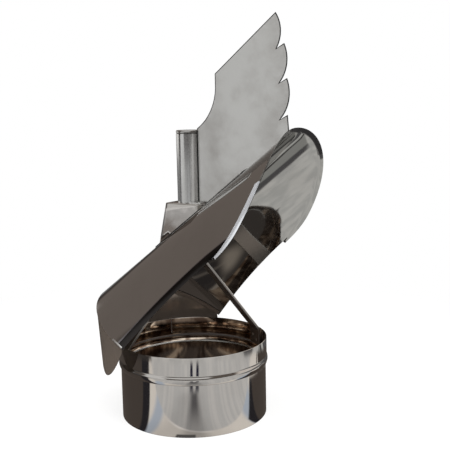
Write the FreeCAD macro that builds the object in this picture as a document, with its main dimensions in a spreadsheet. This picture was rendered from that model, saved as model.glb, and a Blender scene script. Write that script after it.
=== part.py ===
import FreeCAD, Part
import math
import os

import Sketcher
from FreeCAD import Placement, Rotation, Vector

# Wind-driven chimney cap in polished stainless sheet: a collar whose skirt slips into the flue, an arched strap
# with a fixed spindle, and a half-round hood with a wing that turns on two ball bearings.
# Millimetres. The origin is the centre of the collar's bottom edge, +Z runs up the spindle,
# +X points to the hood's open mouth and the wing lies in the plane Y = 0.

SIZES = {
    "collar_radius": 100.0,
    "skirt_radius": 98.5,
    "collar_height": 104.0,
    "collar_sheet": 0.8,
    "bead_level": 72.5,
    "bead_width": 8.0,
    "bead_proud": 2.6,
    "strap_width": 25.0,
    "strap_thickness": 3.0,
    "strap_top": 211.0,
    "strap_half_top": 15.5,
    "strap_bend": 103.0,
    "strap_foot": 80.0,
    "strap_turn": 60.0,
    "seat_gap": 0.05,
    "spindle_radius": 5.0,
    "spindle_tail": 14.0,
    "thread_chamfer": 0.8,
    "shoulder_radius": 8.0,
    "shoulder_height": 5.0,
    "nut_across": 16.0,
    "nut_height": 5.0,
    "washer_radius": 10.0,
    "washer_height": 1.5,
    "race_bore": 5.0,
    "race_outer": 13.0,
    "race_height": 8.0,
    "inner_race_rim": 7.4,
    "outer_race_rim": 10.7,
    "pitch_radius": 9.0,
    "ball_radius": 2.38,
    "ball_play": 0.07,
    "ball_count": 7.0,
    "cage_half_height": 2.9,
    "cage_thickness": 1.1,
    "shield_thickness": 0.5,
    "shield_gap": 0.3,
    "bearing_lift": 12.0,
    "crown_gap": 1.2,
    "spacer_wall": 1.5,
    "tube_radius": 15.4,
    "tube_bore": 13.0,
    "tube_foot": 250.0,
    "tube_top": 378.6,
    "ring_height": 1.2,
    "ring_groove": 0.8,
    "ring_lip": 1.6,
    "cap_height": 4.4,
    "cap_plug": 3.5,
    "cap_chamfer": 0.9,
    "cap_joint": 0.6,
    "fit_gap": 0.02,
    "hood_sheet": 0.8,
    "ridge_level": 261.0,
    "ridge_slope": 37.0,
    "mouth_radius": 97.0,
    "mouth_top": 198.0,
    "mouth_foot": 59.0,
    "mouth_skew": 9.0,
    "mouth_angle": 79.8,
    "mouth_fullness": 1.43,
    "lip_width": 7.4,
    "lip_flare": 20.0,
    "lip_fade": 0.1,
    "lip_end": 0.5,
    "windward_radius": 116.3,
    "windward_foot": -118.0,
    "windward_angle": 84.2,
    "windward_taper": 1.3,
    "edge_bow": 1.0,
    "ridge_end": -134.5,
    "mitre_skew": 6.0,
    "apron_lean": 5.0,
    "apron_drop": 73.0,
    "apron_corner": 0.5,
    "apron_flat_share": 0.6,
    "apron_round": 1.8,
    "seam_lap": 7.0,
    "hood_hole": 16.5,
    "bracket_half_width": 20.0,
    "bracket_top": 288.0,
    "bracket_front": 27.0,
    "bracket_back": 25.2,
    "bracket_splay": 13.0,
    "bracket_sheet": 1.0,
    "bracket_flange": 6.0,
    "rivet_radius": 2.6,
    "rivet_height": 1.3,
    "wing_sheet": 1.0,
    "wing_tip_x": 134.3,
    "wing_tip_z": 523.0,
    "wing_shoulder_x": 45.0,
    "wing_shoulder_z": 453.8,
    "wing_step": 18.0,
    "wing_neck_z": 385.0,
    "neck_hollow": 7.2,
    "wing_heel_x": 152.0,
    "feather_low_share": 0.172,
    "feather_low_out": 0.8,
    "feather_mid_share": 0.469,
    "feather_mid_out": 5.5,
    "feather_high_share": 0.749,
    "feather_high_out": 7.0,
    "feather_cut": 10.5,
    "feather_drop": 5.5,
    "feather_fullness": 0.155,
    "foot_end": 100.0,
    "foot_narrow": 20.0,
    "foot_wide": 33.0,
    "toe_length": 11.0,
    "toe_width": 13.0,
}

doc = FreeCAD.newDocument("chimney_cap")
sheet = doc.addObject("Spreadsheet::Sheet", "Sizes")
for row, (alias, size) in enumerate(SIZES.items(), start=1):
    sheet.set(f"A{row}", alias)
    sheet.set(f"B{row}", str(size))
    sheet.setAlias(f"B{row}", alias)
doc.recompute()

pieces = []


class Size:
    """A length or an angle with its number and the sheet expression that it follows."""

    def __init__(self, number, text):
        self.number = number
        self.text = text

    def join(self, other, sign, number):
        return Size(number, f"({self.text} {sign} {text_of(other)})")

    def __add__(self, other):
        return self.join(other, "+", self.number + number_of(other))

    def __sub__(self, other):
        return self.join(other, "-", self.number - number_of(other))

    def __mul__(self, other):
        return self.join(other, "*", self.number * number_of(other))

    def __truediv__(self, other):
        return self.join(other, "/", self.number / number_of(other))

    def __neg__(self):
        return Size(-self.number, f"(-1 * {self.text})")


def number_of(value):
    return value.number if isinstance(value, Size) else float(value)


def text_of(value):
    return value.text if isinstance(value, Size) else repr(float(value))


def size(alias):
    return Size(float(sheet.get(alias)), f"Sizes.{alias}")


def number(alias):
    return float(sheet.get(alias))


def root(value):
    return Size(math.sqrt(value.number), f"sqrt({value.text})")


def tangent(value):
    return Size(math.tan(math.radians(value.number)), f"tan({value.text})")


def slope_of(rise, run):
    """The angle in degrees of a line with this rise and run."""
    ratio = rise / run
    return Size(math.degrees(math.atan(ratio.number)), f"atan({ratio.text}) / 1 deg")


def bind(thing, path, value):
    if isinstance(value, Size):
        thing.setExpression(path, value.text)


def place(thing, x=0.0, y=0.0, z=0.0):
    """Puts a primitive at a point of the shared frame."""
    thing.Placement = Placement(Vector(number_of(x), number_of(y), number_of(z)), Rotation())
    bind(thing, "Placement.Base.x", x)
    bind(thing, "Placement.Base.y", y)
    bind(thing, "Placement.Base.z", z)
    return thing


def cylinder(name, radius, height, z=0.0, x=0.0, y=0.0):
    thing = doc.addObject("Part::Cylinder", name)
    thing.Radius = number_of(radius)
    thing.Height = number_of(height)
    bind(thing, "Radius", radius)
    bind(thing, "Height", height)
    return place(thing, x, y, z)


def torus(name, ring, tube, z):
    thing = doc.addObject("Part::Torus", name)
    thing.Radius1 = number_of(ring)
    thing.Radius2 = number_of(tube)
    bind(thing, "Radius1", ring)
    bind(thing, "Radius2", tube)
    return place(thing, z=z)


def rolled_groove(name, ring, tube, z):
    """A ring-shaped tool swept from a circle that starts at its top, clear of the faces that it grooves."""
    circle = doc.addObject("Part::Circle", name + "_section")
    circle.Radius = number_of(tube)
    bind(circle, "Radius", tube)
    place(circle, x=ring, z=z)
    circle.Placement.Rotation = Rotation(Vector(0, 0, 1), Vector(1, 0, 0), Vector(0, 1, 0), "XYZ")
    sweep = doc.addObject("Part::Revolution", name)
    sweep.Source = circle
    sweep.Axis = Vector(0, 0, 1)
    sweep.Base = Vector()
    sweep.Angle = 360.0
    sweep.Solid = True
    sweep.Placement = Placement(Vector(), Rotation(Vector(0, 0, 1), 90))
    return sweep


def cut(name, base, tool):
    thing = doc.addObject("Part::Cut", name)
    thing.Base = base
    thing.Tool = tool
    return thing


def common(name, base, tool):
    thing = doc.addObject("Part::Common", name)
    thing.Base = base
    thing.Tool = tool
    return thing


def fuse(name, *things):
    thing = doc.addObject("Part::MultiFuse", name)
    thing.Shapes = list(things)
    return thing


def shaped(name, shape):
    """A piece whose form no primitive gives, made with shape functions from the sheet's numbers."""
    thing = doc.addObject("Part::Feature", name)
    thing.Shape = shape
    thing.Placement = Placement()
    return thing


def node(thing, label):
    """Names a finished sub-part, which is also the name of its file."""
    thing.Label = label
    pieces.append(thing)
    return thing


def sketch_in(body, role):
    sketch = body.newObject("Sketcher::SketchObject", body.Name + "_outline")
    plane = [f for f in body.Origin.OriginFeatures if f.Role == role][0]
    sketch.AttachmentSupport = [(plane, "")]
    sketch.MapMode = "FlatFace"
    return sketch


def pin_vertex(sketch, line, end, x, y):
    """Ties one end of a sketch line to its two coordinates."""
    for kind, value in (("DistanceX", x), ("DistanceY", y)):
        index = sketch.addConstraint(Sketcher.Constraint(kind, -1, 1, line, end, number_of(value)))
        if isinstance(value, Size):
            sketch.setExpression(f"Constraints[{index}]", value.text)


def polygon(sketch, points):
    """A closed outline of straight lines whose corners follow the sheet."""
    spots = [Vector(number_of(x), number_of(y), 0) for x, y in points]
    for here, there in zip(spots, spots[1:] + spots[:1]):
        sketch.addGeometry(Part.LineSegment(here, there), False)
    count = len(points)
    for line in range(count):
        sketch.addConstraint(Sketcher.Constraint("Coincident", line, 2, (line + 1) % count, 1))
    for line, (x, y) in enumerate(points):
        pin_vertex(sketch, line, 1, x, y)


def turned(name, outline):
    """A body turned about the spindle axis from an outline of radius and level."""
    body = doc.addObject("PartDesign::Body", name)
    sketch = sketch_in(body, "XZ_Plane")
    polygon(sketch, outline)
    turn = body.newObject("PartDesign::Revolution", name + "_turn")
    turn.Profile = sketch
    turn.ReferenceAxis = (sketch, ["V_Axis"])
    turn.Angle = 360.0
    return body


def ring(name, inner, outer, low, high):
    return turned(name, [(inner, low), (outer, low), (outer, high), (inner, high)])


def extruded(name, role, outline, length):
    """A body padded to both sides of its sketch plane."""
    body = doc.addObject("PartDesign::Body", name)
    sketch = sketch_in(body, role)
    polygon(sketch, outline)
    pad = body.newObject("PartDesign::Pad", name + "_pad")
    pad.Profile = sketch
    pad.Midplane = True
    pad.Length = number_of(length)
    bind(pad, "Length", length)
    return body


# Collar


def make_collar():
    """A rolled band with a swaged bead, and below the bead the slightly smaller skirt that slips into the flue."""
    band = size("collar_radius")
    skirt = size("skirt_radius")
    wall = size("collar_sheet")
    level = size("bead_level")
    height = size("collar_height")
    proud = size("bead_proud")
    half = size("bead_width") / 2
    bead = (half * half + proud * proud) / (proud * 2)
    bead_ring = band + proud - bead
    outside = fuse(
        "collar_outside",
        cylinder("collar_skirt", skirt, level),
        cylinder("collar_band", band, height - level, z=level),
        torus("collar_bead", bead_ring, bead, level),
    )
    inside = fuse(
        "collar_inside",
        cylinder("collar_skirt_bore", skirt - wall, level),
        cylinder("collar_band_bore", band - wall, height - level, z=level),
        torus("collar_bead_groove", bead_ring, bead - wall, level),
    )
    node(cut("collar_cut", outside, inside), "collar")


# Strap and spindle


def make_strap():
    """One flat bar folded to an arch: a level top for the spindle and a flat foot on each side of the collar."""
    thick = size("strap_thickness")
    top = size("strap_top")
    width = size("strap_width")
    wall = size("collar_radius") - size("collar_sheet")
    foot_face = root(wall * wall - width * width / 4) - size("seat_gap")
    half_top = size("strap_half_top")
    bend = size("strap_bend")
    foot = size("strap_foot")
    lean = slope_of(top - bend, foot_face - half_top)
    inner_top = half_top - thick * tangent(lean / 2)
    inner_bend = bend - thick * tangent(Size(45.0, "45") - lean / 2)
    right = [
        (foot_face, foot),
        (foot_face, bend),
        (half_top, top),
    ]
    inner = [
        (inner_top, top - thick),
        (foot_face - thick, inner_bend),
        (foot_face - thick, foot),
    ]
    left = [(-x, y) for x, y in reversed(right)]
    left_inner = [(-x, y) for x, y in reversed(inner)]
    bar = extruded("strap_bar", "XZ_Plane", right + left + left_inner + inner, width)
    hole = cylinder("strap_hole", size("spindle_radius") + size("fit_gap") * 5, thick * 3, z=top - thick * 2)
    strap = cut("strap_cut", bar, hole)
    strap.Placement = Placement(Vector(), Rotation(Vector(0, 0, 1), number("strap_turn")))
    bind(strap, "Placement.Rotation.Angle", size("strap_turn"))
    node(strap, "spindle_strap")


def levels():
    """The heights at which the stack of nuts, races and sleeves sits on the spindle."""
    race = size("race_height")
    low = size("tube_foot") + size("bearing_lift")
    crown = size("tube_top") - size("cap_plug") - size("crown_gap")
    high = crown - size("nut_height") - race
    return {
        "low": low,
        "low_top": low + race,
        "high": high,
        "high_top": high + race,
        "shoulder": low - size("shoulder_height"),
        "strap": size("strap_top"),
        "strap_under": size("strap_top") - size("strap_thickness"),
    }


def make_spindle():
    """A fixed stub shaft: threaded tail through the strap, a shoulder under the lower bearing, a threaded end."""
    at = levels()
    radius = size("spindle_radius")
    shoulder = size("shoulder_radius")
    tail = at["strap_under"] - size("spindle_tail")
    end = at["high_top"] + size("nut_height")
    chamfer = size("thread_chamfer")
    node(
        turned(
            "spindle_body",
            [
                (Size(0.0, "0"), tail),
                (radius - chamfer, tail),
                (radius, tail + chamfer),
                (radius, at["shoulder"]),
                (shoulder, at["shoulder"]),
                (shoulder, at["low"]),
                (radius, at["low"]),
                (radius, end - chamfer),
                (radius - chamfer, end),
                (Size(0.0, "0"), end),
            ],
        ),
        "spindle",
    )


def nut(name, level, height):
    """A hexagon nut with chamfered corners on the spindle's thread."""
    prism = doc.addObject("Part::Prism", name + "_prism")
    prism.Polygon = 6
    circumradius = size("nut_across") / root(Size(3.0, "3"))
    prism.Circumradius = number_of(circumradius)
    prism.Height = number_of(height)
    bind(prism, "Circumradius", circumradius)
    bind(prism, "Height", height)
    place(prism, z=level)
    cone = doc.addObject("Part::Cone", name + "_chamfer")
    wide = size("nut_across") / 2 + height
    cone.Radius1 = number_of(wide)
    cone.Radius2 = number_of(size("nut_across") / 2)
    cone.Height = number_of(height)
    bind(cone, "Radius1", wide)
    bind(cone, "Radius2", size("nut_across") / 2)
    bind(cone, "Height", height)
    place(cone, z=level)
    bore = cylinder(name + "_bore", size("spindle_radius") + size("fit_gap"), height * 3, z=level - height)
    return cut(name + "_cut", common(name + "_trim", prism, cone), bore)


def washer(name, level):
    bore = size("spindle_radius") + size("fit_gap")
    return ring(name, bore, size("washer_radius"), level, level + size("washer_height"))


def make_strap_fasteners():
    at = levels()
    high = size("nut_height")
    flat = size("washer_height")
    under = at["strap_under"] - flat
    over = at["strap"] + flat
    nuts = fuse("strap_nut_pair", nut("nut_under", under - high, high), nut("nut_over", over, high))
    node(nuts, "strap_nuts")
    node(fuse("strap_washer_pair", washer("washer_under", under), washer("washer_over", at["strap"])), "strap_washers")
    node(nut("nut_crown", at["high_top"], high), "spindle_crown_nut")


# Bearings


def ball_ring(name, level, count, radius):
    """The ring of balls, one sphere turned about the axis as often as the bearing holds balls."""
    middle = level + size("race_height") / 2
    balls = []
    for index in range(count):
        turn = math.radians(360.0 * index / count)
        ball = doc.addObject("Part::Sphere", f"{name}_{index}")
        ball.Radius = number_of(radius)
        bind(ball, "Radius", radius)
        pitch = size("pitch_radius")
        place(ball, pitch * math.cos(turn), pitch * math.sin(turn), middle)
        ball.Placement.Rotation = Rotation(Vector(0, 0, 1), Vector(math.cos(turn), math.sin(turn), 0))
        balls.append(ball)
    return balls


def make_bearing(side, level):
    """A deep-groove ball bearing: two grooved races, the ball ring in its cage and a shield on each face."""
    height = size("race_height")
    middle = level + height / 2
    bore = size("race_bore") + size("fit_gap")
    rim = size("inner_race_rim")
    outer_rim = size("outer_race_rim")
    outer = size("race_outer") - size("fit_gap")
    play = size("ball_play")
    ball = size("ball_radius")
    pitch = size("pitch_radius")
    for label, low, high in (("inner_race", bore, rim), ("outer_race", outer_rim, outer)):
        blank = ring(f"{side}_{label}_blank", low, high, level, level + height)
        groove = rolled_groove(f"{side}_{label}_groove", pitch, ball + play, middle)
        node(cut(f"{side}_{label}_cut", blank, groove), f"{side}_{label}")
    count = int(number("ball_count"))
    balls = fuse(f"{side}_ball_set", *ball_ring(f"{side}_ball", level, count, ball))
    node(balls, f"{side}_balls")
    half = size("cage_half_height")
    thin = size("cage_thickness") / 2
    band = ring(f"{side}_cage_band", pitch - thin, pitch + thin, middle - half, middle + half)
    pockets = fuse(f"{side}_cage_pockets", *ball_ring(f"{side}_pocket", level, count, ball + play))
    node(cut(f"{side}_cage_cut", band, pockets), f"{side}_cage")
    thick = size("shield_thickness")
    inner_edge = rim + size("shield_gap")
    shields = fuse(
        f"{side}_shield_pair",
        ring(f"{side}_shield_under", inner_edge, outer_rim, level, level + thick),
        ring(f"{side}_shield_over", inner_edge, outer_rim, level + height - thick, level + height),
    )
    node(shields, f"{side}_shields")


def make_spacers():
    """The sleeves that hold the two bearings apart, one on the spindle and one in the tube."""
    at = levels()
    wall = size("spacer_wall")
    bore = size("spindle_radius") + size("fit_gap")
    outer = size("tube_bore") - size("fit_gap")
    node(ring("inner_sleeve_body", bore, bore + wall, at["low_top"], at["high"]), "inner_sleeve")
    node(ring("outer_sleeve_body", outer - wall, outer, at["low_top"], at["high"]), "outer_sleeve")


# Tube


def make_tube():
    """The bearing tube, with a groove for a snap ring under the lower bearing and one over the upper."""
    at = levels()
    bore = size("tube_bore")
    outer = size("tube_radius")
    foot = size("tube_foot")
    top = size("tube_top")
    deep = bore + size("ring_groove")
    high = size("ring_height")
    low = at["low"]
    over = at["high_top"]
    node(
        turned(
            "tube_body",
            [
                (bore, foot),
                (outer, foot),
                (outer, top),
                (bore, top),
                (bore, over + high),
                (deep, over + high),
                (deep, over),
                (bore, over),
                (bore, low),
                (deep, low),
                (deep, low - high),
                (bore, low - high),
            ],
        ),
        "bearing_tube",
    )
    snap_inner = bore - size("ring_lip")
    snap_outer = deep - size("fit_gap")
    slack = size("fit_gap")
    rings = fuse(
        "snap_ring_pair",
        ring("snap_low", snap_inner, snap_outer, low - high + slack, low),
        ring("snap_high", snap_inner, snap_outer, over, over + high - slack),
    )
    slot = doc.addObject("Part::Box", "snap_slot")
    slot.Length = number("tube_radius")
    slot.Width = number("ring_lip")
    slot.Height = number_of(over - low + high * 4)
    bind(slot, "Length", size("tube_radius"))
    bind(slot, "Width", size("ring_lip"))
    bind(slot, "Height", over - low + high * 4)
    place(slot, Size(0.0, "0"), -size("ring_lip") / 2, low - high * 2)
    node(cut("snap_ring_cut", rings, slot), "tube_snap_rings")


def make_cap():
    """The turned cap pressed into the tube's end, with a fine joint line below its chamfered rim."""
    top = size("tube_top")
    rim = size("tube_radius")
    joint = size("cap_joint")
    plug = size("tube_bore") - size("fit_gap")
    edge = size("cap_chamfer")
    crown = top + size("cap_height")
    node(
        turned(
            "cap_body",
            [
                (Size(0.0, "0"), top - size("cap_plug")),
                (plug, top - size("cap_plug")),
                (plug, top),
                (rim - joint, top),
                (rim - joint, top + joint),
                (rim, top + joint),
                (rim, crown - edge),
                (rim - edge, crown),
                (Size(0.0, "0"), crown),
            ],
        ),
        "tube_cap",
    )


# Hood sheet


def hood_radius(along):
    """Radius of the half-round hood: even at the mouth, opening out towards the windward end."""
    foot = number("mouth_foot")
    if along >= foot:
        return number("mouth_radius")
    share = (foot - along) / (foot - number("windward_foot"))
    widening = number("windward_radius") - number("mouth_radius")
    return number("mouth_radius") + widening * share ** number("windward_taper")


def hood_axes():
    """The ridge's direction, and the direction square to it that points up out of the hood."""
    slope = math.radians(number("ridge_slope"))
    ridge = Vector(math.cos(slope), 0, math.sin(slope))
    up = Vector(-math.sin(slope), 0, math.cos(slope))
    return ridge, up


def ridge_height(x):
    return number("ridge_level") + x * math.tan(math.radians(number("ridge_slope")))


def hood_point(along, angle, off=0.0):
    """A point of the hood's outer face: distance along the ridge, angle from the ridge, distance off the face."""
    ridge, up = hood_axes()
    radius = hood_radius(along)
    base = Vector(0, 0, number("ridge_level")) + ridge * along
    rise = radius * (math.cos(angle) - 1) + off * math.cos(angle)
    side = (radius + off) * math.sin(angle)
    return base + up * rise + Vector(0, side, 0)


def edge_angle(along):
    """Half the angle that the sheet spans at a place along the ridge, with the slight bow of its free edge."""
    foot = number("mouth_foot")
    share = (foot - along) / (foot - number("windward_foot"))
    share = min(max(share, 0.0), 1.4)
    mouth = number("mouth_angle")
    bow = number("edge_bow") * math.sin(math.pi * min(share, 1.0))
    return math.radians(mouth + (number("windward_angle") - mouth) * share - bow)


def mouth_along(side):
    """How far along the ridge the mouth's crease lies, for a side share of -1 at one foot to 1 at the other.

    The mouth is cut slightly askew, so that one foot lies nearer to the mouth than the other.
    """
    widest = math.radians(number("mouth_angle"))
    depth = (1 - math.cos(abs(side) * widest)) / (1 - math.cos(widest))
    fullness = number("mouth_fullness")
    reach = (1 - min(depth, 1.0) ** fullness) ** (1 / fullness)
    foot = number("mouth_foot") - math.copysign(number("mouth_skew"), side)
    return foot + (number("mouth_top") - foot) * reach


def mitre_along(side):
    """Where the windward mitre plane cuts the hood, found by halving. The plane runs slightly askew."""
    corners = []
    for hand in (-1, 1):
        foot = number("windward_foot") - hand * number("mitre_skew")
        corners.append(hood_point(foot, hand * edge_angle(foot)))
    end_x = number("ridge_end")
    end = Vector(end_x, 0, ridge_height(end_x))
    square = (corners[0] - end).cross(corners[1] - end)

    def above(along):
        return (hood_point(along, side * edge_angle(along)) - end).dot(square)

    low = 3 * number("windward_foot")
    high = 0.0
    low_sign = above(low) > 0
    for _ in range(50):
        middle = (low + high) / 2
        if (above(middle) > 0) == low_sign:
            low = middle
        else:
            high = middle
    return (low + high) / 2


def smooth_edge(spots):
    curve = Part.BSplineCurve()
    curve.interpolate(spots)
    return curve.toShape()


def straight(here, there):
    return Part.LineSegment(here, there).toShape()


def sheet_cut(outer, inner):
    """One cross-cut of a sheet: the edges along its outer face, those along its inner face and the whole loop."""
    start = straight(inner[0].Vertexes[0].Point, outer[0].Vertexes[0].Point)
    end = straight(outer[-1].Vertexes[-1].Point, inner[-1].Vertexes[-1].Point)
    loop = Part.Wire(outer + [end] + [edge.reversed() for edge in reversed(inner)] + [start])
    return outer, inner, loop


def sheet_solid(cuts):
    """A sheet that runs smoothly through its cross-cuts, closed with a strip at the first and the last of them."""
    faces = Part.makeLoft([loop for outer, inner, loop in cuts], False, False).Faces
    for outer, inner, loop in (cuts[0], cuts[-1]):
        for outer_edge, inner_edge in zip(outer, inner):
            faces.extend(Part.makeRuledSurface(outer_edge, inner_edge).Faces)
    skin = Part.makeCompound(faces)
    skin.sewShape()
    solid = Part.Solid(skin.Shells[0])
    if solid.Volume < 0:
        solid.reverse()
    return solid


def crease_frame(side):
    """At the mouth's crease: the outer point, the face's normal and the way out of the mouth in the sheet."""
    widest = math.radians(number("mouth_angle"))
    step = 1e-3
    ridge, up = hood_axes()
    before = max(side - step, -1.0)
    after = min(side + step, 1.0)
    tangent_run = hood_point(mouth_along(after), after * widest) - hood_point(mouth_along(before), before * widest)
    tangent_run.normalize()
    along = mouth_along(side)
    spot = hood_point(along, side * widest)
    normal = hood_point(along, side * widest, 1.0) - spot
    outward = tangent_run.cross(normal)
    if outward.dot(ridge) < 0:
        outward = outward * -1
    return spot, normal, outward


def lip_share(side):
    """The lip narrows where it runs out at the free edges."""
    fade = min(1.0, (1 - abs(side)) / number("lip_fade"))
    return number("lip_end") + (1 - number("lip_end")) * fade * (2 - fade)


def scoop_cut(side, wall):
    """One cross-cut of the scoop from the mitre to the lip's edge."""
    start = mitre_along(side)
    end = mouth_along(side)
    widest = math.radians(number("mouth_angle"))
    steps = 7
    places = [start + (end - start) * index / steps for index in range(steps + 1)]
    angles = [side * edge_angle(along) for along in places]
    angles[-1] = side * widest
    outer = [hood_point(along, angle) for along, angle in zip(places, angles)]
    inner = [hood_point(along, angle, -wall) for along, angle in zip(places, angles)]
    spot, normal, outward = crease_frame(side)
    flare = math.radians(number("lip_flare"))
    width = number("lip_width") * lip_share(side)
    lean_out = outward * math.cos(flare) + normal * math.sin(flare)
    lip_normal = normal * math.cos(flare) - outward * math.sin(flare)
    inner[-1] = spot - (normal + lip_normal) * (wall / (1 + math.cos(flare)))
    lip_outer = spot + lean_out * width
    lip_inner = lip_outer - lip_normal * wall
    return sheet_cut(
        [smooth_edge(outer), straight(outer[-1], lip_outer)],
        [smooth_edge(inner), straight(inner[-1], lip_inner)],
    )


def side_shares(count, reach=1.0):
    """Places round the sheet from one free edge to the other, closer together near the edges."""
    return [reach * math.sin(math.pi / 2 * (2 * index / count - 1)) for index in range(count + 1)]


def make_scoop():
    """The half-round sheet of the hood, open below, with its flared mouth and the tube's hole through the ridge."""
    wall = number("hood_sheet")
    solid = sheet_solid([scoop_cut(side, wall) for side in side_shares(24)])
    reach = number("ridge_level")
    hole = Part.makeCylinder(number("hood_hole"), reach, Vector(0, 0, number("ridge_level") - reach / 2))
    node(shaped("scoop_sheet", solid.cut(hole)), "hood_scoop")


def apron_length(side):
    """How far the apron hangs below the mitre: level along its middle, then rounded up to each free edge."""
    rise = max(0.0, abs(side) - number("apron_flat_share")) / (1 - number("apron_flat_share"))
    fall = 1 - rise ** number("apron_round")
    return number("apron_corner") + (number("apron_drop") - number("apron_corner")) * fall


def apron_cut(side, wall, gap):
    """One cross-cut of the apron: the lap inside the scoop, then the hanging tongue."""
    lean = math.radians(number("apron_lean"))
    down = Vector(math.sin(lean), 0, -math.cos(lean))
    along = mitre_along(side)
    lap_along = along + number("seam_lap")
    sides = []
    for off in (-wall - gap, -2 * wall - gap):
        lap = hood_point(lap_along, side * edge_angle(lap_along), off)
        bend = hood_point(along, side * edge_angle(along), off)
        foot = bend + down * apron_length(side)
        sides.append([straight(lap, bend), straight(bend, foot)])
    return sheet_cut(sides[0], sides[1])


def make_apron():
    """The windward sheet: a half-round tongue mitred under the scoop and lapped inside it."""
    wall = number("hood_sheet")
    gap = number("seat_gap")
    cuts = [apron_cut(side, wall, gap) for side in side_shares(22, 0.985)]
    node(shaped("apron_sheet", sheet_solid(cuts)), "hood_apron")


# Bracket


def ridge_layer(low, high, reach, half_width):
    """A curved slab that follows the ridge, between two distances off the hood's outer face."""
    turn = math.asin(half_width / number("mouth_radius"))
    cuts = []
    for index in range(9):
        angle = turn * (index / 4 - 1)
        places = [reach * (step / 3 - 1) for step in range(7)]
        outer = [hood_point(along, angle, high) for along in places]
        inner = [hood_point(along, angle, low) for along in places]
        cuts.append(sheet_cut([smooth_edge(outer)], [smooth_edge(inner)]))
    return sheet_solid(cuts)


def side_prism(outline, half_width):
    """A prism across the hood from an outline in the wing's plane."""
    wire = Part.makePolygon([Vector(x, -half_width, z) for x, z in outline + outline[:1]])
    return Part.Face(wire).extrude(Vector(0, 2 * half_width, 0))


def make_bracket():
    """A folded box on the ridge: level top round the tube, splayed back, open foot and a flange all round it."""
    gap = number("seat_gap")
    wall = number("bracket_sheet")
    half = number("bracket_half_width")
    top = number("bracket_top")
    front = number("bracket_front")
    back = -number("bracket_back")
    splay = number("bracket_splay")
    flange = number("bracket_flange")
    depth = half / 2
    below = ridge_height(back - splay) - depth
    lean = splay / (top - ridge_height(back - splay))
    low_back = back - lean * (top - below)
    front_low = ridge_height(front) - depth
    outer = side_prism([(back, top), (front, top), (front, front_low), (low_back, below)], half)
    cover = top - wall
    inner_front = front - wall
    inner = side_prism(
        [(back + wall, cover), (inner_front, cover), (inner_front, front_low), (low_back + wall, below - wall)],
        half - wall,
    )
    reach = front + splay + 3 * half
    core = ridge_layer(-2 * half, gap, reach, 1.6 * half)
    box = outer.cut(inner).cut(core)
    layer = ridge_layer(gap, gap + wall, reach, half + flange + wall)
    foot_back = back - splay - flange
    foot_front = front + flange
    foot = side_prism(
        [(foot_back, top), (foot_front, top + flange), (foot_front, front_low), (foot_back, below - flange)],
        half + flange,
    )
    rim = layer.common(foot).cut(inner)
    body = box.fuse(rim).removeSplitter()
    hole = Part.makeCylinder(number("tube_radius") + gap, top, Vector(0, 0, top / 2))
    node(shaped("bracket_sheet_metal", body.cut(hole)), "bearing_bracket")


def dome_head(spot, up):
    """A low rivet head that stands on a face: an arc turned about its own axis."""
    radius = number("rivet_radius")
    height = number("rivet_height")
    ball = (radius * radius + height * height) / (2 * height)
    half_turn = math.asin(radius / ball) / 2
    rim = Vector(radius, 0, 0)
    crown = Vector(0, 0, height)
    middle = Vector(ball * math.sin(half_turn), 0, height - ball + ball * math.cos(half_turn))
    outline = Part.Wire([straight(Vector(), rim), Part.Arc(rim, middle, crown).toShape(), straight(crown, Vector())])
    head = Part.Face(outline).revolve(Vector(), Vector(0, 0, 1), 360)
    head.Placement = Placement(spot, Rotation(Vector(0, 0, 1), up))
    return head


# Wing


def feather_belly(low, high):
    """The middle point of a feather's round edge between its notch and its tip."""
    chord = high - low
    middle = (low + high) * 0.5
    outward = Vector(chord.z, 0, -chord.x)
    outward.normalize()
    return middle + outward * (chord.Length * number("feather_fullness"))


def wing_edges():
    """The wing's outline in its plane, from the tube round the feathers and back along the ridge."""
    gap = number("seat_gap")
    edge_x = number("tube_radius") + gap
    lift = gap / math.cos(math.radians(number("ridge_slope")))

    def at(x, z):
        return Vector(x, 0, z)

    toe_z = number("bracket_top") + gap
    front = number("bracket_front") + number("bracket_flange") + gap
    toe = at(edge_x, toe_z)
    toe_end = at(front, toe_z)
    foot = at(front, ridge_height(front) + lift)
    heel = at(number("wing_heel_x"), ridge_height(number("wing_heel_x")) + lift)
    top_tip = at(number("wing_tip_x"), number("wing_tip_z"))
    tips = []
    for name in ("low", "mid", "high"):
        straight_tip = heel + (top_tip - heel) * number(f"feather_{name}_share")
        tips.append(straight_tip + Vector(number(f"feather_{name}_out"), 0, 0))
    tips.append(top_tip)
    shoulder = at(number("wing_shoulder_x"), number("wing_shoulder_z"))
    step = shoulder - Vector(0, 0, number("wing_step"))
    neck = at(edge_x, number("wing_neck_z"))
    chord = step - neck
    hollow_way = Vector(chord.z, 0, -chord.x)
    hollow_way.normalize()
    hollow = (step + neck) * 0.5 + hollow_way * number("neck_hollow")

    edges = [straight(toe, toe_end)]
    if foot.z < toe_end.z:
        edges.append(straight(toe_end, foot))
        edges.append(straight(foot, heel))
    else:
        edges.append(straight(toe_end, heel))
    edges.append(straight(heel, tips[0]))
    notch_shift = Vector(-number("feather_cut"), 0, -number("feather_drop"))
    for low_tip, high_tip in zip(tips, tips[1:]):
        notch = low_tip + notch_shift
        edges.append(straight(low_tip, notch))
        edges.append(Part.Arc(notch, feather_belly(notch, high_tip), high_tip).toShape())
    edges.append(straight(tips[-1], shoulder))
    edges.append(straight(shoulder, step))
    edges.append(Part.Arc(step, hollow, neck).toShape())
    edges.append(straight(neck, toe))
    return edges


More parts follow.
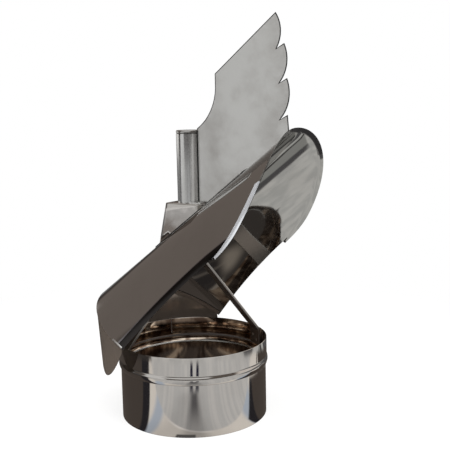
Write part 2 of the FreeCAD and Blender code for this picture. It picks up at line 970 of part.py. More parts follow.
def wing_foot(wall, gap):
    """The strip that is folded out from the wing's base and lies on the near side of the ridge."""
    start = number("bracket_front") + number("bracket_flange") + gap
    end = number("foot_end")
    wide = number("foot_wide")
    strip = ridge_layer(gap, gap + wall, 1.5 * end, wide + wall)
    plan = [(start, 0), (start, -number("foot_narrow")), (end, -wide), (end, 0)]
    outline = Part.makePolygon([Vector(x, y, 0) for x, y in plan + plan[:1]])
    return strip.common(Part.Face(outline).extrude(Vector(0, 0, 2 * number("bracket_top"))))


def make_wing():
    """The flat feathered wing on the ridge, with a folded foot and a toe over the bracket's top beside the tube."""
    wall = number("wing_sheet")
    gap = number("seat_gap")
    face = Part.Face(Part.Wire(wing_edges()))
    plate = face.extrude(Vector(0, wall, 0))
    plate.translate(Vector(0, -wall / 2, 0))
    toe_z = number("bracket_top") + gap
    start = number("tube_radius") + gap
    toe = Part.makeBox(number("toe_length"), number("toe_width"), wall, Vector(start, -number("toe_width"), toe_z))
    clear = Part.makeCylinder(number("tube_radius") + gap, 4 * wall, Vector(0, 0, toe_z - wall))
    sheet_metal = plate.fuse([toe.cut(clear), wing_foot(wall, gap)]).removeSplitter()
    node(shaped("wing_plate", sheet_metal), "wing")
    spot = Vector(start + number("toe_length") * 0.55, -number("toe_width") * 0.55, toe_z + wall)
    head = dome_head(spot, Vector(0, 0, 1))
    node(shaped("toe_rivet_head", Part.makeCompound([head])), "wing_toe_rivet")


make_collar()
make_strap()
make_spindle()
make_strap_fasteners()
make_bearing("lower", levels()["low"])
make_bearing("upper", levels()["high"])
make_spacers()
make_tube()
make_cap()
make_scoop()
make_apron()
make_bracket()
make_wing()

doc.recompute()

for thing in doc.Objects:
    if "Invalid" in thing.State or "Error" in thing.State:
        raise RuntimeError(f"{thing.Name} did not build: {thing.State}")
for piece in pieces:
    if piece.Shape.isNull() or not piece.Shape.isValid():
        raise RuntimeError(f"{piece.Label} has no sound shape")

os.makedirs("parts", exist_ok=True)
for piece in pieces:
    piece.Shape.exportStep(os.path.join("parts", piece.Label + ".step"))
    print(piece.Label, len(piece.Shape.Solids), round(piece.Shape.Volume, 1))
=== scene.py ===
import math

import bmesh
import bpy
from bpy.props import FloatProperty, FloatVectorProperty, PointerProperty
from bpy.types import Operator, Panel, PropertyGroup
from mathutils import Matrix, Vector


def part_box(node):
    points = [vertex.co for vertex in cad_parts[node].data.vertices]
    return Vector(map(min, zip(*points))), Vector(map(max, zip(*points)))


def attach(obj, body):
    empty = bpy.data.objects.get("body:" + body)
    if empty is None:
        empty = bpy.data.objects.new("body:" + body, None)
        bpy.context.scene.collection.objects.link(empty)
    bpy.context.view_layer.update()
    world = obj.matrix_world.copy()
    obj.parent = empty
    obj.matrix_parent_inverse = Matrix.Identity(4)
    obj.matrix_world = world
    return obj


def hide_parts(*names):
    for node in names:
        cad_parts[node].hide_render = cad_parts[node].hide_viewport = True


bl_info = {
    "name": "Chimney Cap",
    "version": (1, 0, 0),
    "blender": (4, 5, 0),
    "location": "3D View > Sidebar > Chimney Cap",
    "description": "Dresses the frame of a wind-driven chimney cap in polished stainless sheet",
    "category": "Object",
}

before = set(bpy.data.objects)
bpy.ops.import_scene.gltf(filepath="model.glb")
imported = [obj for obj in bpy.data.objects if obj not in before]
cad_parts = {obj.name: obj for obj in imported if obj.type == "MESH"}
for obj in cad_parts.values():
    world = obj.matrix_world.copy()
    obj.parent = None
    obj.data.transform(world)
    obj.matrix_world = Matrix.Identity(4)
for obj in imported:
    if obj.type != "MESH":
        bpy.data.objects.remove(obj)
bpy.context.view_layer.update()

# Steps of the meshes
BODY_STEPS = 48
LIP_STEPS = 8
APRON_STEPS = 24
BEND_STEPS = 4
FOOT_STEPS = 40

# How far past the low corners the hood's sheet goes on widening, as a share of its length
WIDENING = 1.4

# Gap between a stand-in's face and the sheet that it lies on
GAP = 0.00005

# Spot welds: places across and up the strap's foot, and the reach and rise of each weld's rings
WELD_SPOTS = ((-0.005, 0.0055), (0.005, 0.0115))
WELD_RINGS = ((0.0023, -0.0001), (0.0018, 0.00025), (0.001, 0.0001))
WELD_STEPS = 16

# Level ways across the floor and round the room, as X and Y
PLUS_X = (1.0, 0.0)
PLUS_Y = (0.0, 1.0)
MINUS_Y = (0.0, -1.0)
CARD_WAY = (0.757, -0.654)
OPEN_WAY = (0.75, -0.66)
LIP_RUN = (0.88, 0.474)
SIDEWAYS = (0.834, 0.552)
SHADOW_WAY = (0.809, 0.588)
BACK_WAY = (-0.24, 0.97)
FAR_WAY = (-0.73, 0.68)

# Half the width of the soft edge between two painted tones
SOFT_EDGE = 0.003

# What the lights point at: the middle of the cap
LIGHT_TARGET = Vector((0, 0, 0.22))


def node_low(node):
    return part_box(node)[0]


def node_high(node):
    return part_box(node)[1]


# Kinds of setting


def distance(name, description, default):
    return FloatProperty(name=name, description=description, default=default, subtype="DISTANCE")


def degrees(name, description, default):
    return FloatProperty(name=name, description=description, default=math.radians(default), subtype="ANGLE")


def number(name, description, default):
    return FloatProperty(name=name, description=description, default=default)


def colour(name, description, default):
    return FloatVectorProperty(name=name, description=description, default=default, subtype="COLOR")


# Sizes and colours that a user would change


class CollarSizes(PropertyGroup):
    band_radius: distance("Band radius", "Outside of the band above the bead", 0.1)
    skirt_radius: distance("Skirt radius", "Outside of the skirt below the bead", 0.0985)
    height: distance("Height", "From the skirt's edge to the rim", node_high("collar").z)
    bead_level: distance("Bead level", "Height of the middle of the bead", 0.0745)
    bead_width: distance("Bead width", "Width of the bead", 0.01)
    bead_proud: distance("Bead height", "How far the bead stands out", 0.0012)
    sheet: distance("Sheet", "Thickness of the sheet", 0.0008)
    cove: distance("Cove", "Radius of the cove over the bead", 0.008)
    edge: distance("Edge", "How far the rim's edges are eased", 0.0004)
    seam: degrees("Seam", "Where the lap seam's edge stands", 144)
    seam_width: distance("Seam width", "Width of the lap seam's edge", 0.0012)


class StrapSizes(PropertyGroup):
    width: distance("Width", "Width of the flat bar", 0.025)
    thickness: distance("Thickness", "Thickness of the flat bar", 0.003)
    half_top: distance("Half top", "Half the length of the level top", 0.0155)
    bend: distance("Bend level", "Height of the foot's bend", 0.103)
    bend_reach: distance("Bend reach", "Length of bar that each bend takes on either side", 0.004)
    edge: distance("Edge", "How far the bar's edges are eased", 0.0005)
    turn: degrees("Turn", "Which way the strap runs across the collar", 60)


class HoodSizes(PropertyGroup):
    sheet: distance("Sheet", "Thickness of the sheet", 0.0008)
    ease: distance("Ease", "How far the faces lie inside the sheet's own faces", 0.0002)
    ridge_level: distance("Ridge level", "Height of the ridge over the spindle", 0.261)
    ridge_slope: degrees("Ridge slope", "Rise of the ridge towards the mouth", 37)
    mouth_radius: distance("Mouth radius", "Radius of the sheet at the mouth", 0.097)
    mouth_top: distance("Mouth top", "Where the crease meets the ridge", 0.198)
    mouth_foot: distance("Mouth foot", "Where the crease meets the free edges", 0.059)
    mouth_skew: distance("Mouth skew", "How far each foot lies before or after its place", 0.009)
    mouth_angle: degrees("Mouth angle", "Half angle of the sheet at the mouth", 79.8)
    mouth_fullness: number("Mouth fullness", "Roundness of the mouth's crease", 1.43)
    lip_width: distance("Lip width", "Width of the flared lip", 0.0074)
    lip_flare: degrees("Lip flare", "How far the lip is turned out", 20)
    lip_fade: number("Lip fade", "Share of the lip that runs out at each end", 0.1)
    lip_end: number("Lip end", "Share of its width that the lip keeps at its ends", 0.5)
    windward_radius: distance("Windward radius", "Radius of the sheet at the low end", 0.1163)
    windward_foot: distance("Windward foot", "Where the low corners lie along the ridge", -0.118)
    windward_angle: degrees("Windward angle", "Half angle of the sheet at the low end", 84.2)
    windward_taper: number("Taper", "How evenly the hood opens out", 1.3)
    edge_bow: degrees("Edge bow", "Hollow of the free edges", 1)
    ridge_end: distance("Ridge end", "Where the mitre meets the ridge", -0.1345)
    mitre_skew: distance("Mitre skew", "How far each low corner lies before or after its place", 0.006)
    apron_lean: degrees("Apron lean", "Lean of the apron towards the collar", 5)
    apron_drop: distance("Apron drop", "Length of the apron at its middle", 0.073)
    apron_corner: distance("Apron corner", "Length of the apron at its ends", 0.0005)
    apron_flat: number("Apron flat", "Share of the apron whose edge is level", 0.6)
    apron_round: number("Apron roundness", "Roundness of the apron's corners", 1.8)
    apron_reach: number("Apron reach", "Share of the hood's low end that the apron spans", 0.985)
    seam_width: distance("Seam width", "Width of the mitre seam's bead", 0.0026)
    seam_proud: distance("Seam height", "How far the seam's bead stands out", 0.0004)
    seam_reach: number("Seam reach", "Share of the half sheet that the bead takes", 0.11)
    seam_lap: distance("Seam lap", "Overlap of the apron inside the hood", 0.007)
    # Painted shade: the inner face of the lip's crown is tinted dark, this far down each side
    crown: number("Crown", "How far down its far side the lip is dull inside", 0.5)
    crown_near: number("Near crown", "How far down its near side the lip is dull inside", 0.3)
    # The pale near lip is a painted highlight
    lip_bright: number("Bright lip", "How far down its near side the painted lip highlight begins", 0.68)
    # Painted shade: a near-black band painted along the hood's free edges, with a paler painted line beside
    # it. No hem is rolled in the sheet
    shade_band: number("Shade band", "Share of the half sheet that the rolled hem takes", 0.06)
    shade_band_line: number("Shade band line", "Width of the line beside the hem, as a share of the hem", 0.12)


class BracketSizes(PropertyGroup):
    half_width: distance("Half width", "Half the box's width", 0.02)
    top: distance("Top", "Level of the box's top", 0.288)
    front: distance("Front", "Reach towards the mouth", 0.027)
    back: distance("Back", "Reach away from the mouth", 0.0252)
    splay: distance("Splay", "Spread of the back wall", 0.013)
    sheet: distance("Sheet", "Thickness of the sheet", 0.001)
    flange: distance("Flange", "Width of the flange", 0.006)
    fold: distance("Fold", "Outside radius of the folds", 0.0016)
    gap: distance("Gap", "Play between pieces that touch", 0.00005)


class TubeSizes(PropertyGroup):
    edge: distance("Edge", "How far the tube's edges are eased", 0.0003)
    ring: distance("Ring groove", "Height of a snap ring's groove", 0.0012)
    play: distance("Play", "Room round the sleeve and the rings", 0.00002)
    joint: distance("Joint", "Depth and height of the joint under the cap", 0.0006)
    cap_edge: distance("Cap edge", "How far the cap's edge is rounded", 0.0009)
    cap_face: distance("Cap face", "Width of the raised band round the cap's top", 0.004)


class WingSizes(PropertyGroup):
    sheet: distance("Sheet", "Thickness of the sheet", 0.001)
    # Painted shade: a dark line drawn in round the wing's outline on both faces
    edge: distance("Edge shade", "Width of the dark line that the shears left", 0.0012)
    bevel: distance("Bevel", "How far the painted edge shade is eased across the sheet", 0.00012)
    tip_x: distance("Tip reach", "Reach of the top tip", 0.1343)
    tip_z: distance("Tip level", "Level of the top tip", 0.523)
    shoulder_x: distance("Shoulder reach", "Reach of the shoulder", 0.045)
    shoulder_z: distance("Shoulder level", "Level of the shoulder", 0.4538)
    step: distance("Step", "Drop below the shoulder", 0.018)
    neck_z: distance("Neck level", "Where the hollow meets the tube", 0.385)
    hollow: distance("Hollow", "Depth of the hollow", 0.0072)
    heel_x: distance("Heel", "Where the wing leaves the ridge", 0.152)
    shares: FloatVectorProperty(
        name="Feather places", description="How far up the edge each feather ends",
        default=(0.172, 0.469, 0.749),
    )
    reaches: FloatVectorProperty(
        name="Feather reaches", description="How far each feather stands out of the edge",
        default=(0.0008, 0.0055, 0.007),
    )
    notch: distance("Notch", "Depth of a notch", 0.0105)
    notch_drop: distance("Notch drop", "Fall of a notch", 0.0055)
    fullness: number("Fullness", "Roundness of a feather", 0.155)
    foot_end: distance("Foot end", "Where the foot ends", 0.1)
    foot_narrow: distance("Foot start width", "Width of the foot at the bracket", 0.02)
    foot_wide: distance("Foot end width", "Width of the foot at its end", 0.033)
    # Painted highlight along the foot's outer edge
    foot_rim: distance("Foot rim", "Width of the foot's rubbed outer edge", 0.0022)
    toe_length: distance("Toe length", "Length of the toe", 0.011)
    toe_width: distance("Toe width", "Width of the toe", 0.013)


class FinishColours(PropertyGroup):
    hood: colour("Hood", "Tint of the hood's polished sheet", (0.66, 0.65, 0.64))
    # Painted shade: the hood's inner face is tinted darker than its outer face
    inside: colour("Hood's inside", "Tint of the hood's inner face", (0.47, 0.465, 0.45))
    # Painted shade on the inner face of the lip's crown
    crown: colour("Crown", "Tint of the lip's crown", (0.21, 0.205, 0.20))
    # Painted highlight: the lip's pale, bluish tint, less metallic than the hood
    lip: colour("Lip", "Tint of the mouth's painted lip highlight", (0.86, 0.90, 0.96))
    # Painted shade: the near-black band along the hood's free edges, and the paler painted line beside it
    shaded: colour("Hood's shade band", "Tint of the rolled band along the free edges", (0.035, 0.032, 0.031))
    shade_band_line: colour("Shade band line", "Tint of the line beside the rolled band", (0.40, 0.38, 0.41))
    # Painted shade: the apron is the hood's own sheet, tinted darker, browner and less metallic
    apron: colour("Apron", "Tint of the apron's sheet on both faces", (0.30, 0.25, 0.21))
    collar: colour("Collar", "Tint of the collar's polished sheet", (0.56, 0.54, 0.52))
    # The collar's inner face is tinted pale, with painted reflection patches over it
    collar_inside: colour("Collar's inside", "Tint of the collar's inner face", (0.85, 0.83, 0.80))
    bracket: colour("Bracket", "Tint of the bracket's polished sheet", (0.50, 0.48, 0.46))
    wing: colour("Wing", "Tint of the wing's dull sheet", (0.605, 0.605, 0.594))
    # Painted shade: a near-black tint on the sheets' edges, round the wing's outline and in the joint under
    # the cap
    edge: colour("Edge shade", "Tint of the sheared edges", (0.055, 0.055, 0.055))
    # Painted highlight: the near-white tint on folds, beads, seams, welds and eased edges
    bright: colour("Bright edge", "Tint of rubbed folds and beads", (0.92, 0.92, 0.91))
    tube: colour("Tube", "Tint of the drawn tube", (0.66, 0.66, 0.655))
    cap: colour("Cap", "Tint of the turned cap", (0.40, 0.395, 0.385))
    bar: colour("Bar", "Tint of the flat bar", (0.30, 0.28, 0.265))
    plated: colour("Plated", "Tint of nuts and washers", (0.58, 0.58, 0.57))
    ground: colour("Ground steel", "Tint of the bearing steel", (0.62, 0.62, 0.63))
    cage: colour("Cage", "Tint of the brass cages", (0.60, 0.43, 0.18))


class StageSizes(PropertyGroup):
    camera_place: FloatVectorProperty(
        name="Camera place", description="Where the camera stands", subtype="TRANSLATION",
        default=(0.6219, -0.8559, 0.412),
    )
    camera_azimuth: degrees("Camera azimuth", "Which way the camera looks", 33.48)
    camera_dip: degrees("Camera dip", "How far the camera looks down", 8.4)
    camera_roll: degrees("Camera roll", "Tilt of the picture", 1.14)
    camera_lens: number("Lens", "Focal length in millimetres", 64.0)
    floor_radius: distance("Floor radius", "Radius of the floor", 6.0)


# Mesh helpers


def add_piece(name, mesh, body, slot_name, *replaced):
    """Puts a finished mesh in the scene, on its body and in place of the nodes it stands for."""
    piece = bpy.data.objects.new(name, mesh)
    bpy.context.scene.collection.objects.link(piece)
    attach(piece, body)
    if replaced:
        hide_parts(*replaced)
    return piece


def mesh_from(name, points, faces, sharp_angle=40, paints=None):
    """A mesh with smooth shading that stays crisp along its folds. The paints number each face's material."""
    mesh = bpy.data.meshes.new(name)
    mesh.from_pydata(points, [], faces)
    if paints:
        mesh.polygons.foreach_set("material_index", paints)
    build = bmesh.new()
    build.from_mesh(mesh)
    bmesh.ops.remove_doubles(build, verts=build.verts, dist=1e-6)
    bmesh.ops.recalc_face_normals(build, faces=build.faces)
    for face in build.faces:
        face.smooth = True
    limit = math.radians(sharp_angle)
    for edge in build.edges:
        edge.smooth = len(edge.link_faces) == 2 and edge.calc_face_angle(0) < limit
    build.to_mesh(mesh)
    build.free()
    return mesh


def lathe(name, profile, steps, sharp_angle=40, paint=None):
    """Turns a closed outline of radius and level about the spindle's axis."""
    points = []
    paints = []
    for step in range(steps):
        turn = 2 * math.pi * step / steps
        points.extend((r * math.cos(turn), r * math.sin(turn), z) for r, z in profile)
    count = len(profile)
    faces = []
    for step in range(steps):
        here = step * count
        there = (step + 1) % steps * count
        for index in range(count):
            after = (index + 1) % count
            faces.append((here + index, there + index, there + after, here + after))
            paints.append(paint(index) if paint else 0)
    return mesh_from(name, points, faces, sharp_angle, paints)


def walls_between(loops, count, first=0):
    """Faces that join a stack of closed loops, each with this many points."""
    faces = []
    for loop in range(loops - 1):
        for k in range(count):
            a = first + loop * count + k
            b = first + loop * count + (k + 1) % count
            faces.append((a, a + count, b + count, b))
    return faces


def sheet_from_grid(name, rows, thickness, closed=False, sharp_angle=50, paint=None, rim=0, inside=None):
    """A sheet whose outer face runs through rows of points, with its thickness laid to the inside."""
    high = len(rows)
    wide = len(rows[0])

    def wrap(column):
        return column % wide if closed else min(max(column, 0), wide - 1)

    outer = [point for row in rows for point in row]
    inner = []
    for i in range(high):
        for j in range(wide):
            across = rows[i][wrap(j + 1)] - rows[i][wrap(j - 1)]
            along = rows[min(i + 1, high - 1)][j] - rows[max(i - 1, 0)][j]
            normal = across.cross(along).normalized()
            inner.append(rows[i][j] + normal * thickness)
    points = outer + inner
    offset = len(outer)
    faces = []
    paints = []
    last = wide if closed else wide - 1
    for i in range(high - 1):
        for j in range(last):
            a = i * wide + j
            b = i * wide + wrap(j + 1)
            c = (i + 1) * wide + wrap(j + 1)
            d = (i + 1) * wide + j
            faces.append((a, b, c, d))
            faces.append((offset + d, offset + c, offset + b, offset + a))
            paints += [paint(i, j) if paint else 0, inside(i, j) if inside else 0]
    border = [[(0, j) for j in range(wide)], [(high - 1, j) for j in range(wide)]]
    if not closed:
        border.append([(i, 0) for i in range(high)])
        border.append([(i, wide - 1) for i in range(high)])
    for line in border:
        pairs = list(zip(line, line[1:]))
        if closed:
            pairs.append((line[-1], line[0]))
        paints += [rim] * len(pairs)
        for (i, j), (k, m) in pairs:
            a = i * wide + j
            b = k * wide + m
            faces.append((a, b, offset + b, offset + a))
    return mesh_from(name, [tuple(p) for p in points], faces, sharp_angle, paints)


def arc_points(centre, radius, start, end, steps):
    """Points in a plane on an arc between two angles."""
    return [
        (
            centre[0] + radius * math.cos(start + (end - start) * k / steps),
            centre[1] + radius * math.sin(start + (end - start) * k / steps),
        )
        for k in range(steps + 1)
    ]


def arc_through(first, middle, last, steps):
    """Points on the arc through three points of a plane, without its first one."""
    a, b, c = (Vector(point) for point in (first, middle, last))
    bend = 2 * ((b - a).x * (c - a).y - (b - a).y * (c - a).x)
    near, far = (b - a).length_squared, (c - a).length_squared
    centre = a + Vector(((c - a).y * near - (b - a).y * far, (b - a).x * far - (c - a).x * near)) / bend
    begin = math.atan2(a.y - centre.y, a.x - centre.x)
    turn = math.atan2(c.y - centre.y, c.x - centre.x) - begin
    half = (math.atan2(b.y - centre.y, b.x - centre.x) - begin + math.pi) % (2 * math.pi) - math.pi
    turn += 2 * math.pi * round((2 * half - turn) / (2 * math.pi))
    return arc_points(centre, (a - centre).length, begin, begin + turn, steps)[1:]


def drawn_in(loop, amount):
    """A loop in a plane moved inwards by an amount, with its sharp corners kept short."""
    moved = []
    for index, here in enumerate(loop):
        before = (Vector(here) - Vector(loop[index - 1])).normalized()
        after = (Vector(loop[(index + 1) % len(loop)]) - Vector(here)).normalized()
        way = Vector((-before.y - after.y, before.x + after.x))
        reach = min(2.0, 2 / max(way.length_squared, 1e-6) ** 0.5)
        moved.append(Vector(here) + way.normalized() * (amount * reach))
    return moved


def coat(piece, *materials):
    slots = piece.data.materials
    for index, material in enumerate(materials):
        if index < len(slots):
            slots[index] = material
        else:
            slots.append(material)


# Shader groups


def group_with(name, inputs, outputs):
    """An empty shader group with its sockets, and its input and output nodes."""
    group = bpy.data.node_groups.new(name, "ShaderNodeTree")
    for label, kind, value in inputs:
        group.interface.new_socket(name=label, in_out="INPUT", socket_type=kind).default_value = value
    for label, kind in outputs:
        group.interface.new_socket(name=label, in_out="OUTPUT", socket_type=kind)
    return group, group.nodes.new("NodeGroupInput"), group.nodes.new("NodeGroupOutput")


def grey(level):
    return (level, level, level)


class Wiring:
    """Short ways to add and join nodes in one tree. A way is a level direction, given as X and Y."""

    def __init__(self, tree):
        self.tree = tree

    def node(self, kind, **settings):
        made = self.tree.nodes.new(kind)
        for key, value in settings.items():
            setattr(made, key, value)
        return made

    def join(self, out, into):
        self.tree.links.new(out, into)

    def feed(self, socket, value):
        if isinstance(value, bpy.types.NodeSocket):
            self.join(value, socket)
        elif isinstance(value, tuple):
            socket.default_value = (*value, 1.0)
        else:
            socket.default_value = value

    def math(self, operation, first, second=0.0, clamp=False):
        made = self.node("ShaderNodeMath", operation=operation, use_clamp=clamp)
        self.feed(made.inputs[0], first)
        self.feed(made.inputs[1], second)
        return made.outputs[0]

    def both(self, first, second):
        """Where two masks overlap."""
        return self.math("MULTIPLY", first, second)

    def either(self, first, second):
        """Where at least one of two masks holds."""
        return self.math("MAXIMUM", first, second)

    def mix(self, share, first, second, blend="MIX"):
        """A blend of two colours or masks."""
        made = self.node("ShaderNodeMix", data_type="RGBA", blend_type=blend)
        self.feed(made.inputs[0], share)
        self.feed(made.inputs[6], first)
        self.feed(made.inputs[7], second)
        return made.outputs[2]

    def mix_shaders(self, share, first, second):
        made = self.node("ShaderNodeMixShader")
        self.join(share, made.inputs[0])
        self.join(first.outputs[0], made.inputs[1])
        self.join(second.outputs[0], made.inputs[2])
        return made

    def noise(self, vector, scale, detail, rough):
        made = self.node("ShaderNodeTexNoise")
        self.join(vector, made.inputs["Vector"])
        self.feed(made.inputs["Scale"], scale)
        self.feed(made.inputs["Detail"], detail)
        self.feed(made.inputs["Roughness"], rough)
        return made.outputs["Fac"]

    def stretch(self, vector, scale):
        made = self.node("ShaderNodeMapping")
        self.join(vector, made.inputs["Vector"])
        made.inputs["Scale"].default_value = scale
        return made.outputs["Vector"]

    def dot(self, vector, way):
        """How far a place lies along a way."""
        made = self.node("ShaderNodeVectorMath", operation="DOT_PRODUCT")
        self.join(vector, made.inputs[0])
        made.inputs[1].default_value = (*way, 0.0)
        return made.outputs["Value"]

    def length(self, vector, centre=(0.0, 0.0, 0.0)):
        """How far a place lies from a centre."""
        made = self.node("ShaderNodeVectorMath", operation="DISTANCE")
        self.join(vector, made.inputs[0])
        made.inputs[1].default_value = centre
        return made.outputs["Value"]

    def heading(self, vector, scale):
        """The way from the middle to a place, as a point on a circle of this size."""
        made = self.node("ShaderNodeVectorMath", operation="NORMALIZE")
        self.join(vector, made.inputs[0])
        return self.stretch(made.outputs[0], (scale, scale, scale))

    def band(self, value, low, high, to_low=0.0, to_high=1.0):
        """A soft step from one value to another between two limits."""
        made = self.node("ShaderNodeMapRange", interpolation_type="SMOOTHSTEP")
        self.feed(made.inputs["Value"], value)
        self.feed(made.inputs["From Min"], low)
        self.feed(made.inputs["From Max"], high)
        self.feed(made.inputs["To Min"], to_low)
        self.feed(made.inputs["To Max"], to_high)
        return made.outputs["Result"]

    def inside_of(self, value, low, high):
        """Full below the lower limit and gone at the upper one."""
        return self.band(value, low, high, 1.0, 0.0)

    def beyond(self, vector, way, limit):
        """The floor or room past a straight line, with a narrow soft edge."""
        return self.band(self.dot(vector, way), limit - SOFT_EDGE, limit + SOFT_EDGE)

    def ray(self, vector, way, shift, core, edge):
        """A straight line on the floor, full within its core and fading out at its edge."""
        off = self.math("ABSOLUTE", self.math("SUBTRACT", self.dot(vector, way), shift))
        return self.inside_of(off, core, edge)


# Tones of worn and scratched sheet, of painted reflection patches and of drawn lines
WORN = (0.30, 0.27, 0.25)
DARK_PATCH = (0.34, 0.25, 0.20)
LIGHT_PATCH = (1.0, 0.88, 0.76)
SCRATCHED = (0.75, 0.74, 0.72)
LINE_SHADE = (0.22, 0.21, 0.205)
TEXTURE_OUTPUTS = (
    ("Color", "NodeSocketColor"),
    ("Roughness", "NodeSocketFloat"),
    ("Height", "NodeSocketFloat"),
)


def handling_group():
    """Smudges, hairline scratches and a faint waviness of hand-worked sheet, and painted reflection patches
    that run up it.
    """
    group, ins, outs = group_with(
        "Handled Sheet",
        [
            ("Tint", "NodeSocketColor", (0.5, 0.5, 0.5, 1.0)),
            ("Smudges", "NodeSocketFloat", 0.5),
            ("Scratches", "NodeSocketFloat", 0.3),
            ("Smooth", "NodeSocketFloat", 0.08),
            ("Dull", "NodeSocketFloat", 0.25),
            ("Dents", "NodeSocketFloat", 0.3),
            ("Reflection patches", "NodeSocketFloat", 0.0),
        ],
        TEXTURE_OUTPUTS,
    )
    wires = Wiring(group)
    where = wires.node("ShaderNodeTexCoord").outputs["Object"]
    cloud = wires.noise(where, 9.0, 5.0, 0.55)
    fine_cloud = wires.math("MULTIPLY", wires.noise(where, 60.0, 4.0, 0.6), 0.3)
    smudge = wires.band(wires.math("ADD", cloud, fine_cloud), 0.55, 0.85)
    smudge = wires.math("MULTIPLY", smudge, ins.outputs["Smudges"])
    lines = wires.noise(wires.stretch(where, (900.0, 900.0, 25.0)), 1.0, 3.0, 0.6)
    scratch = wires.math("MULTIPLY", wires.band(lines, 0.62, 0.75), ins.outputs["Scratches"])
    color = wires.mix(wires.math("MULTIPLY", smudge, 0.35), ins.outputs["Tint"], WORN)
    # Painted reflection: light and dark patches that run up the sheet round the spindle
    reflection_patches = wires.noise(wires.stretch(wires.heading(where, 7.0), (1.0, 1.0, 0.15)), 1.0, 2.0, 0.5)
    patch_tone = wires.mix(wires.band(reflection_patches, 0.42, 0.58), DARK_PATCH, LIGHT_PATCH)
    color = wires.mix(ins.outputs["Reflection patches"], color, wires.mix(1.0, color, patch_tone, "MULTIPLY"))
    color = wires.mix(wires.math("MULTIPLY", scratch, 0.25), color, SCRATCHED)
    wear = wires.math("ADD", smudge, wires.math("MULTIPLY", scratch, 0.6), clamp=True)
    spread = wires.math("SUBTRACT", ins.outputs["Dull"], ins.outputs["Smooth"])
    rough = wires.math("ADD", ins.outputs["Smooth"], wires.math("MULTIPLY", wear, spread))
    wave = wires.noise(where, 14.0, 1.5, 0.4)
    ripple = wires.math("MULTIPLY", wires.noise(where, 45.0, 2.0, 0.4), 0.12)
    height = wires.math("MULTIPLY", wires.math("ADD", wave, ripple), ins.outputs["Dents"])
    wires.join(color, outs.inputs["Color"])
    wires.join(rough, outs.inputs["Roughness"])
    wires.join(height, outs.inputs["Height"])
    return group


def drawn_group():
    """Fine lines that run round or along a turned or drawn piece."""
    group, ins, outs = group_with(
        "Drawn Lines",
        [
            ("Tint", "NodeSocketColor", (0.5, 0.5, 0.5, 1.0)),
            ("Along", "NodeSocketFloat", 8.0),
            ("Round", "NodeSocketFloat", 900.0),
            ("Contrast", "NodeSocketFloat", 0.4),
            ("Roughness", "NodeSocketFloat", 0.3),
        ],
        TEXTURE_OUTPUTS,
    )
    wires = Wiring(group)
    where = wires.node("ShaderNodeTexCoord").outputs["Object"]
    split = wires.node("ShaderNodeSeparateXYZ")
    wires.join(where, split.inputs[0])
    joined = wires.node("ShaderNodeCombineXYZ")
    for axis, fineness in enumerate(("Round", "Round", "Along")):
        wires.join(wires.math("MULTIPLY", split.outputs[axis], ins.outputs[fineness]), joined.inputs[axis])
    lines = wires.noise(joined.outputs[0], 1.0, 4.0, 0.6)
    cloud = wires.noise(where, 40.0, 4.0, 0.6)
    tone = wires.math("ADD", wires.math("MULTIPLY", lines, 0.7), wires.math("MULTIPLY", cloud, 0.3))
    share = wires.math("MULTIPLY", wires.band(tone, 0.35, 0.65), ins.outputs["Contrast"])
    color = wires.mix(share, ins.outputs["Tint"], LINE_SHADE)
    change = wires.math("MULTIPLY", wires.math("SUBTRACT", tone, 0.5), 0.35)
    rough = wires.math("ADD", ins.outputs["Roughness"], change, clamp=True)
    wires.join(color, outs.inputs["Color"])
    wires.join(rough, outs.inputs["Roughness"])
    wires.join(lines, outs.inputs["Height"])
    return group


groups = {}
materials = {}

# Strength and depth of the bump on each kind of sheet
SHEET_RELIEF = (0.35, 0.0012)
BAND_RELIEF = (0.2, 0.0008)
EDGE_RELIEF = (0.1, 0.0005)
TURNED_RELIEF = (0.08, 0.0002)


def shader_groups():
    if not groups:
        groups["handled"] = handling_group()
        groups["drawn"] = drawn_group()
    return groups


def metal(name, group, values, relief, metallic=1.0):
    """A metal whose colour, roughness and bump come from one of the shared groups."""
    if name in materials:
        return materials[name]
    material = bpy.data.materials.new(name)
    material.use_nodes = True
    tree = material.node_tree
    tree.nodes.clear()
    wires = Wiring(tree)
    look = wires.node("ShaderNodeGroup", node_tree=shader_groups()[group])
    for label, value in values.items():
        look.inputs[label].default_value = value
    shader = wires.node("ShaderNodeBsdfPrincipled")
    shader.inputs["Metallic"].default_value = metallic
    bump = wires.node("ShaderNodeBump")
    bump.inputs["Strength"].default_value, bump.inputs["Distance"].default_value = relief
    out = wires.node("ShaderNodeOutputMaterial")
    wires.join(look.outputs["Color"], shader.inputs["Base Color"])
    wires.join(look.outputs["Roughness"], shader.inputs["Roughness"])
    wires.join(look.outputs["Height"], bump.inputs["Height"])
    wires.join(bump.outputs["Normal"], shader.inputs["Normal"])
    wires.join(shader.outputs["BSDF"], out.inputs["Surface"])
    material.diffuse_color = values["Tint"]
    materials[name] = material
    return material


def handled(name, tint, relief=SHEET_RELIEF, metallic=1.0, dents=1.0, reflection_patches=0.0, **wear):
    """Hand-worked sheet. Its wear is smudges, scratches and how rough it is where smooth and where dull."""
    values = {label.capitalize(): value for label, value in wear.items()}
    values.update({"Tint": (*tint, 1.0), "Dents": dents, "Reflection patches": reflection_patches})
    return metal(name, "handled", values, relief, metallic)


def drawn(name, tint, relief=TURNED_RELIEF, **lines):
    """Turned or drawn metal. Its lines are finer the larger their numbers along and round the axis."""
    values = {label.capitalize(): value for label, value in lines.items()}
    values["Tint"] = (*tint, 1.0)
    return metal(name, "drawn", values, relief)


def colours():
    return bpy.context.scene.cap_colours


def hood_finish():
    return handled("hood polish", colours().hood, smudges=0.3, scratches=0.2, smooth=0.05, dull=0.14)


# Painted shade: the hood's inner face is tinted darker than its outer face
def inside_finish():
    return handled("hood inside", colours().inside, smudges=0.4, scratches=0.2, smooth=0.05, dull=0.16)


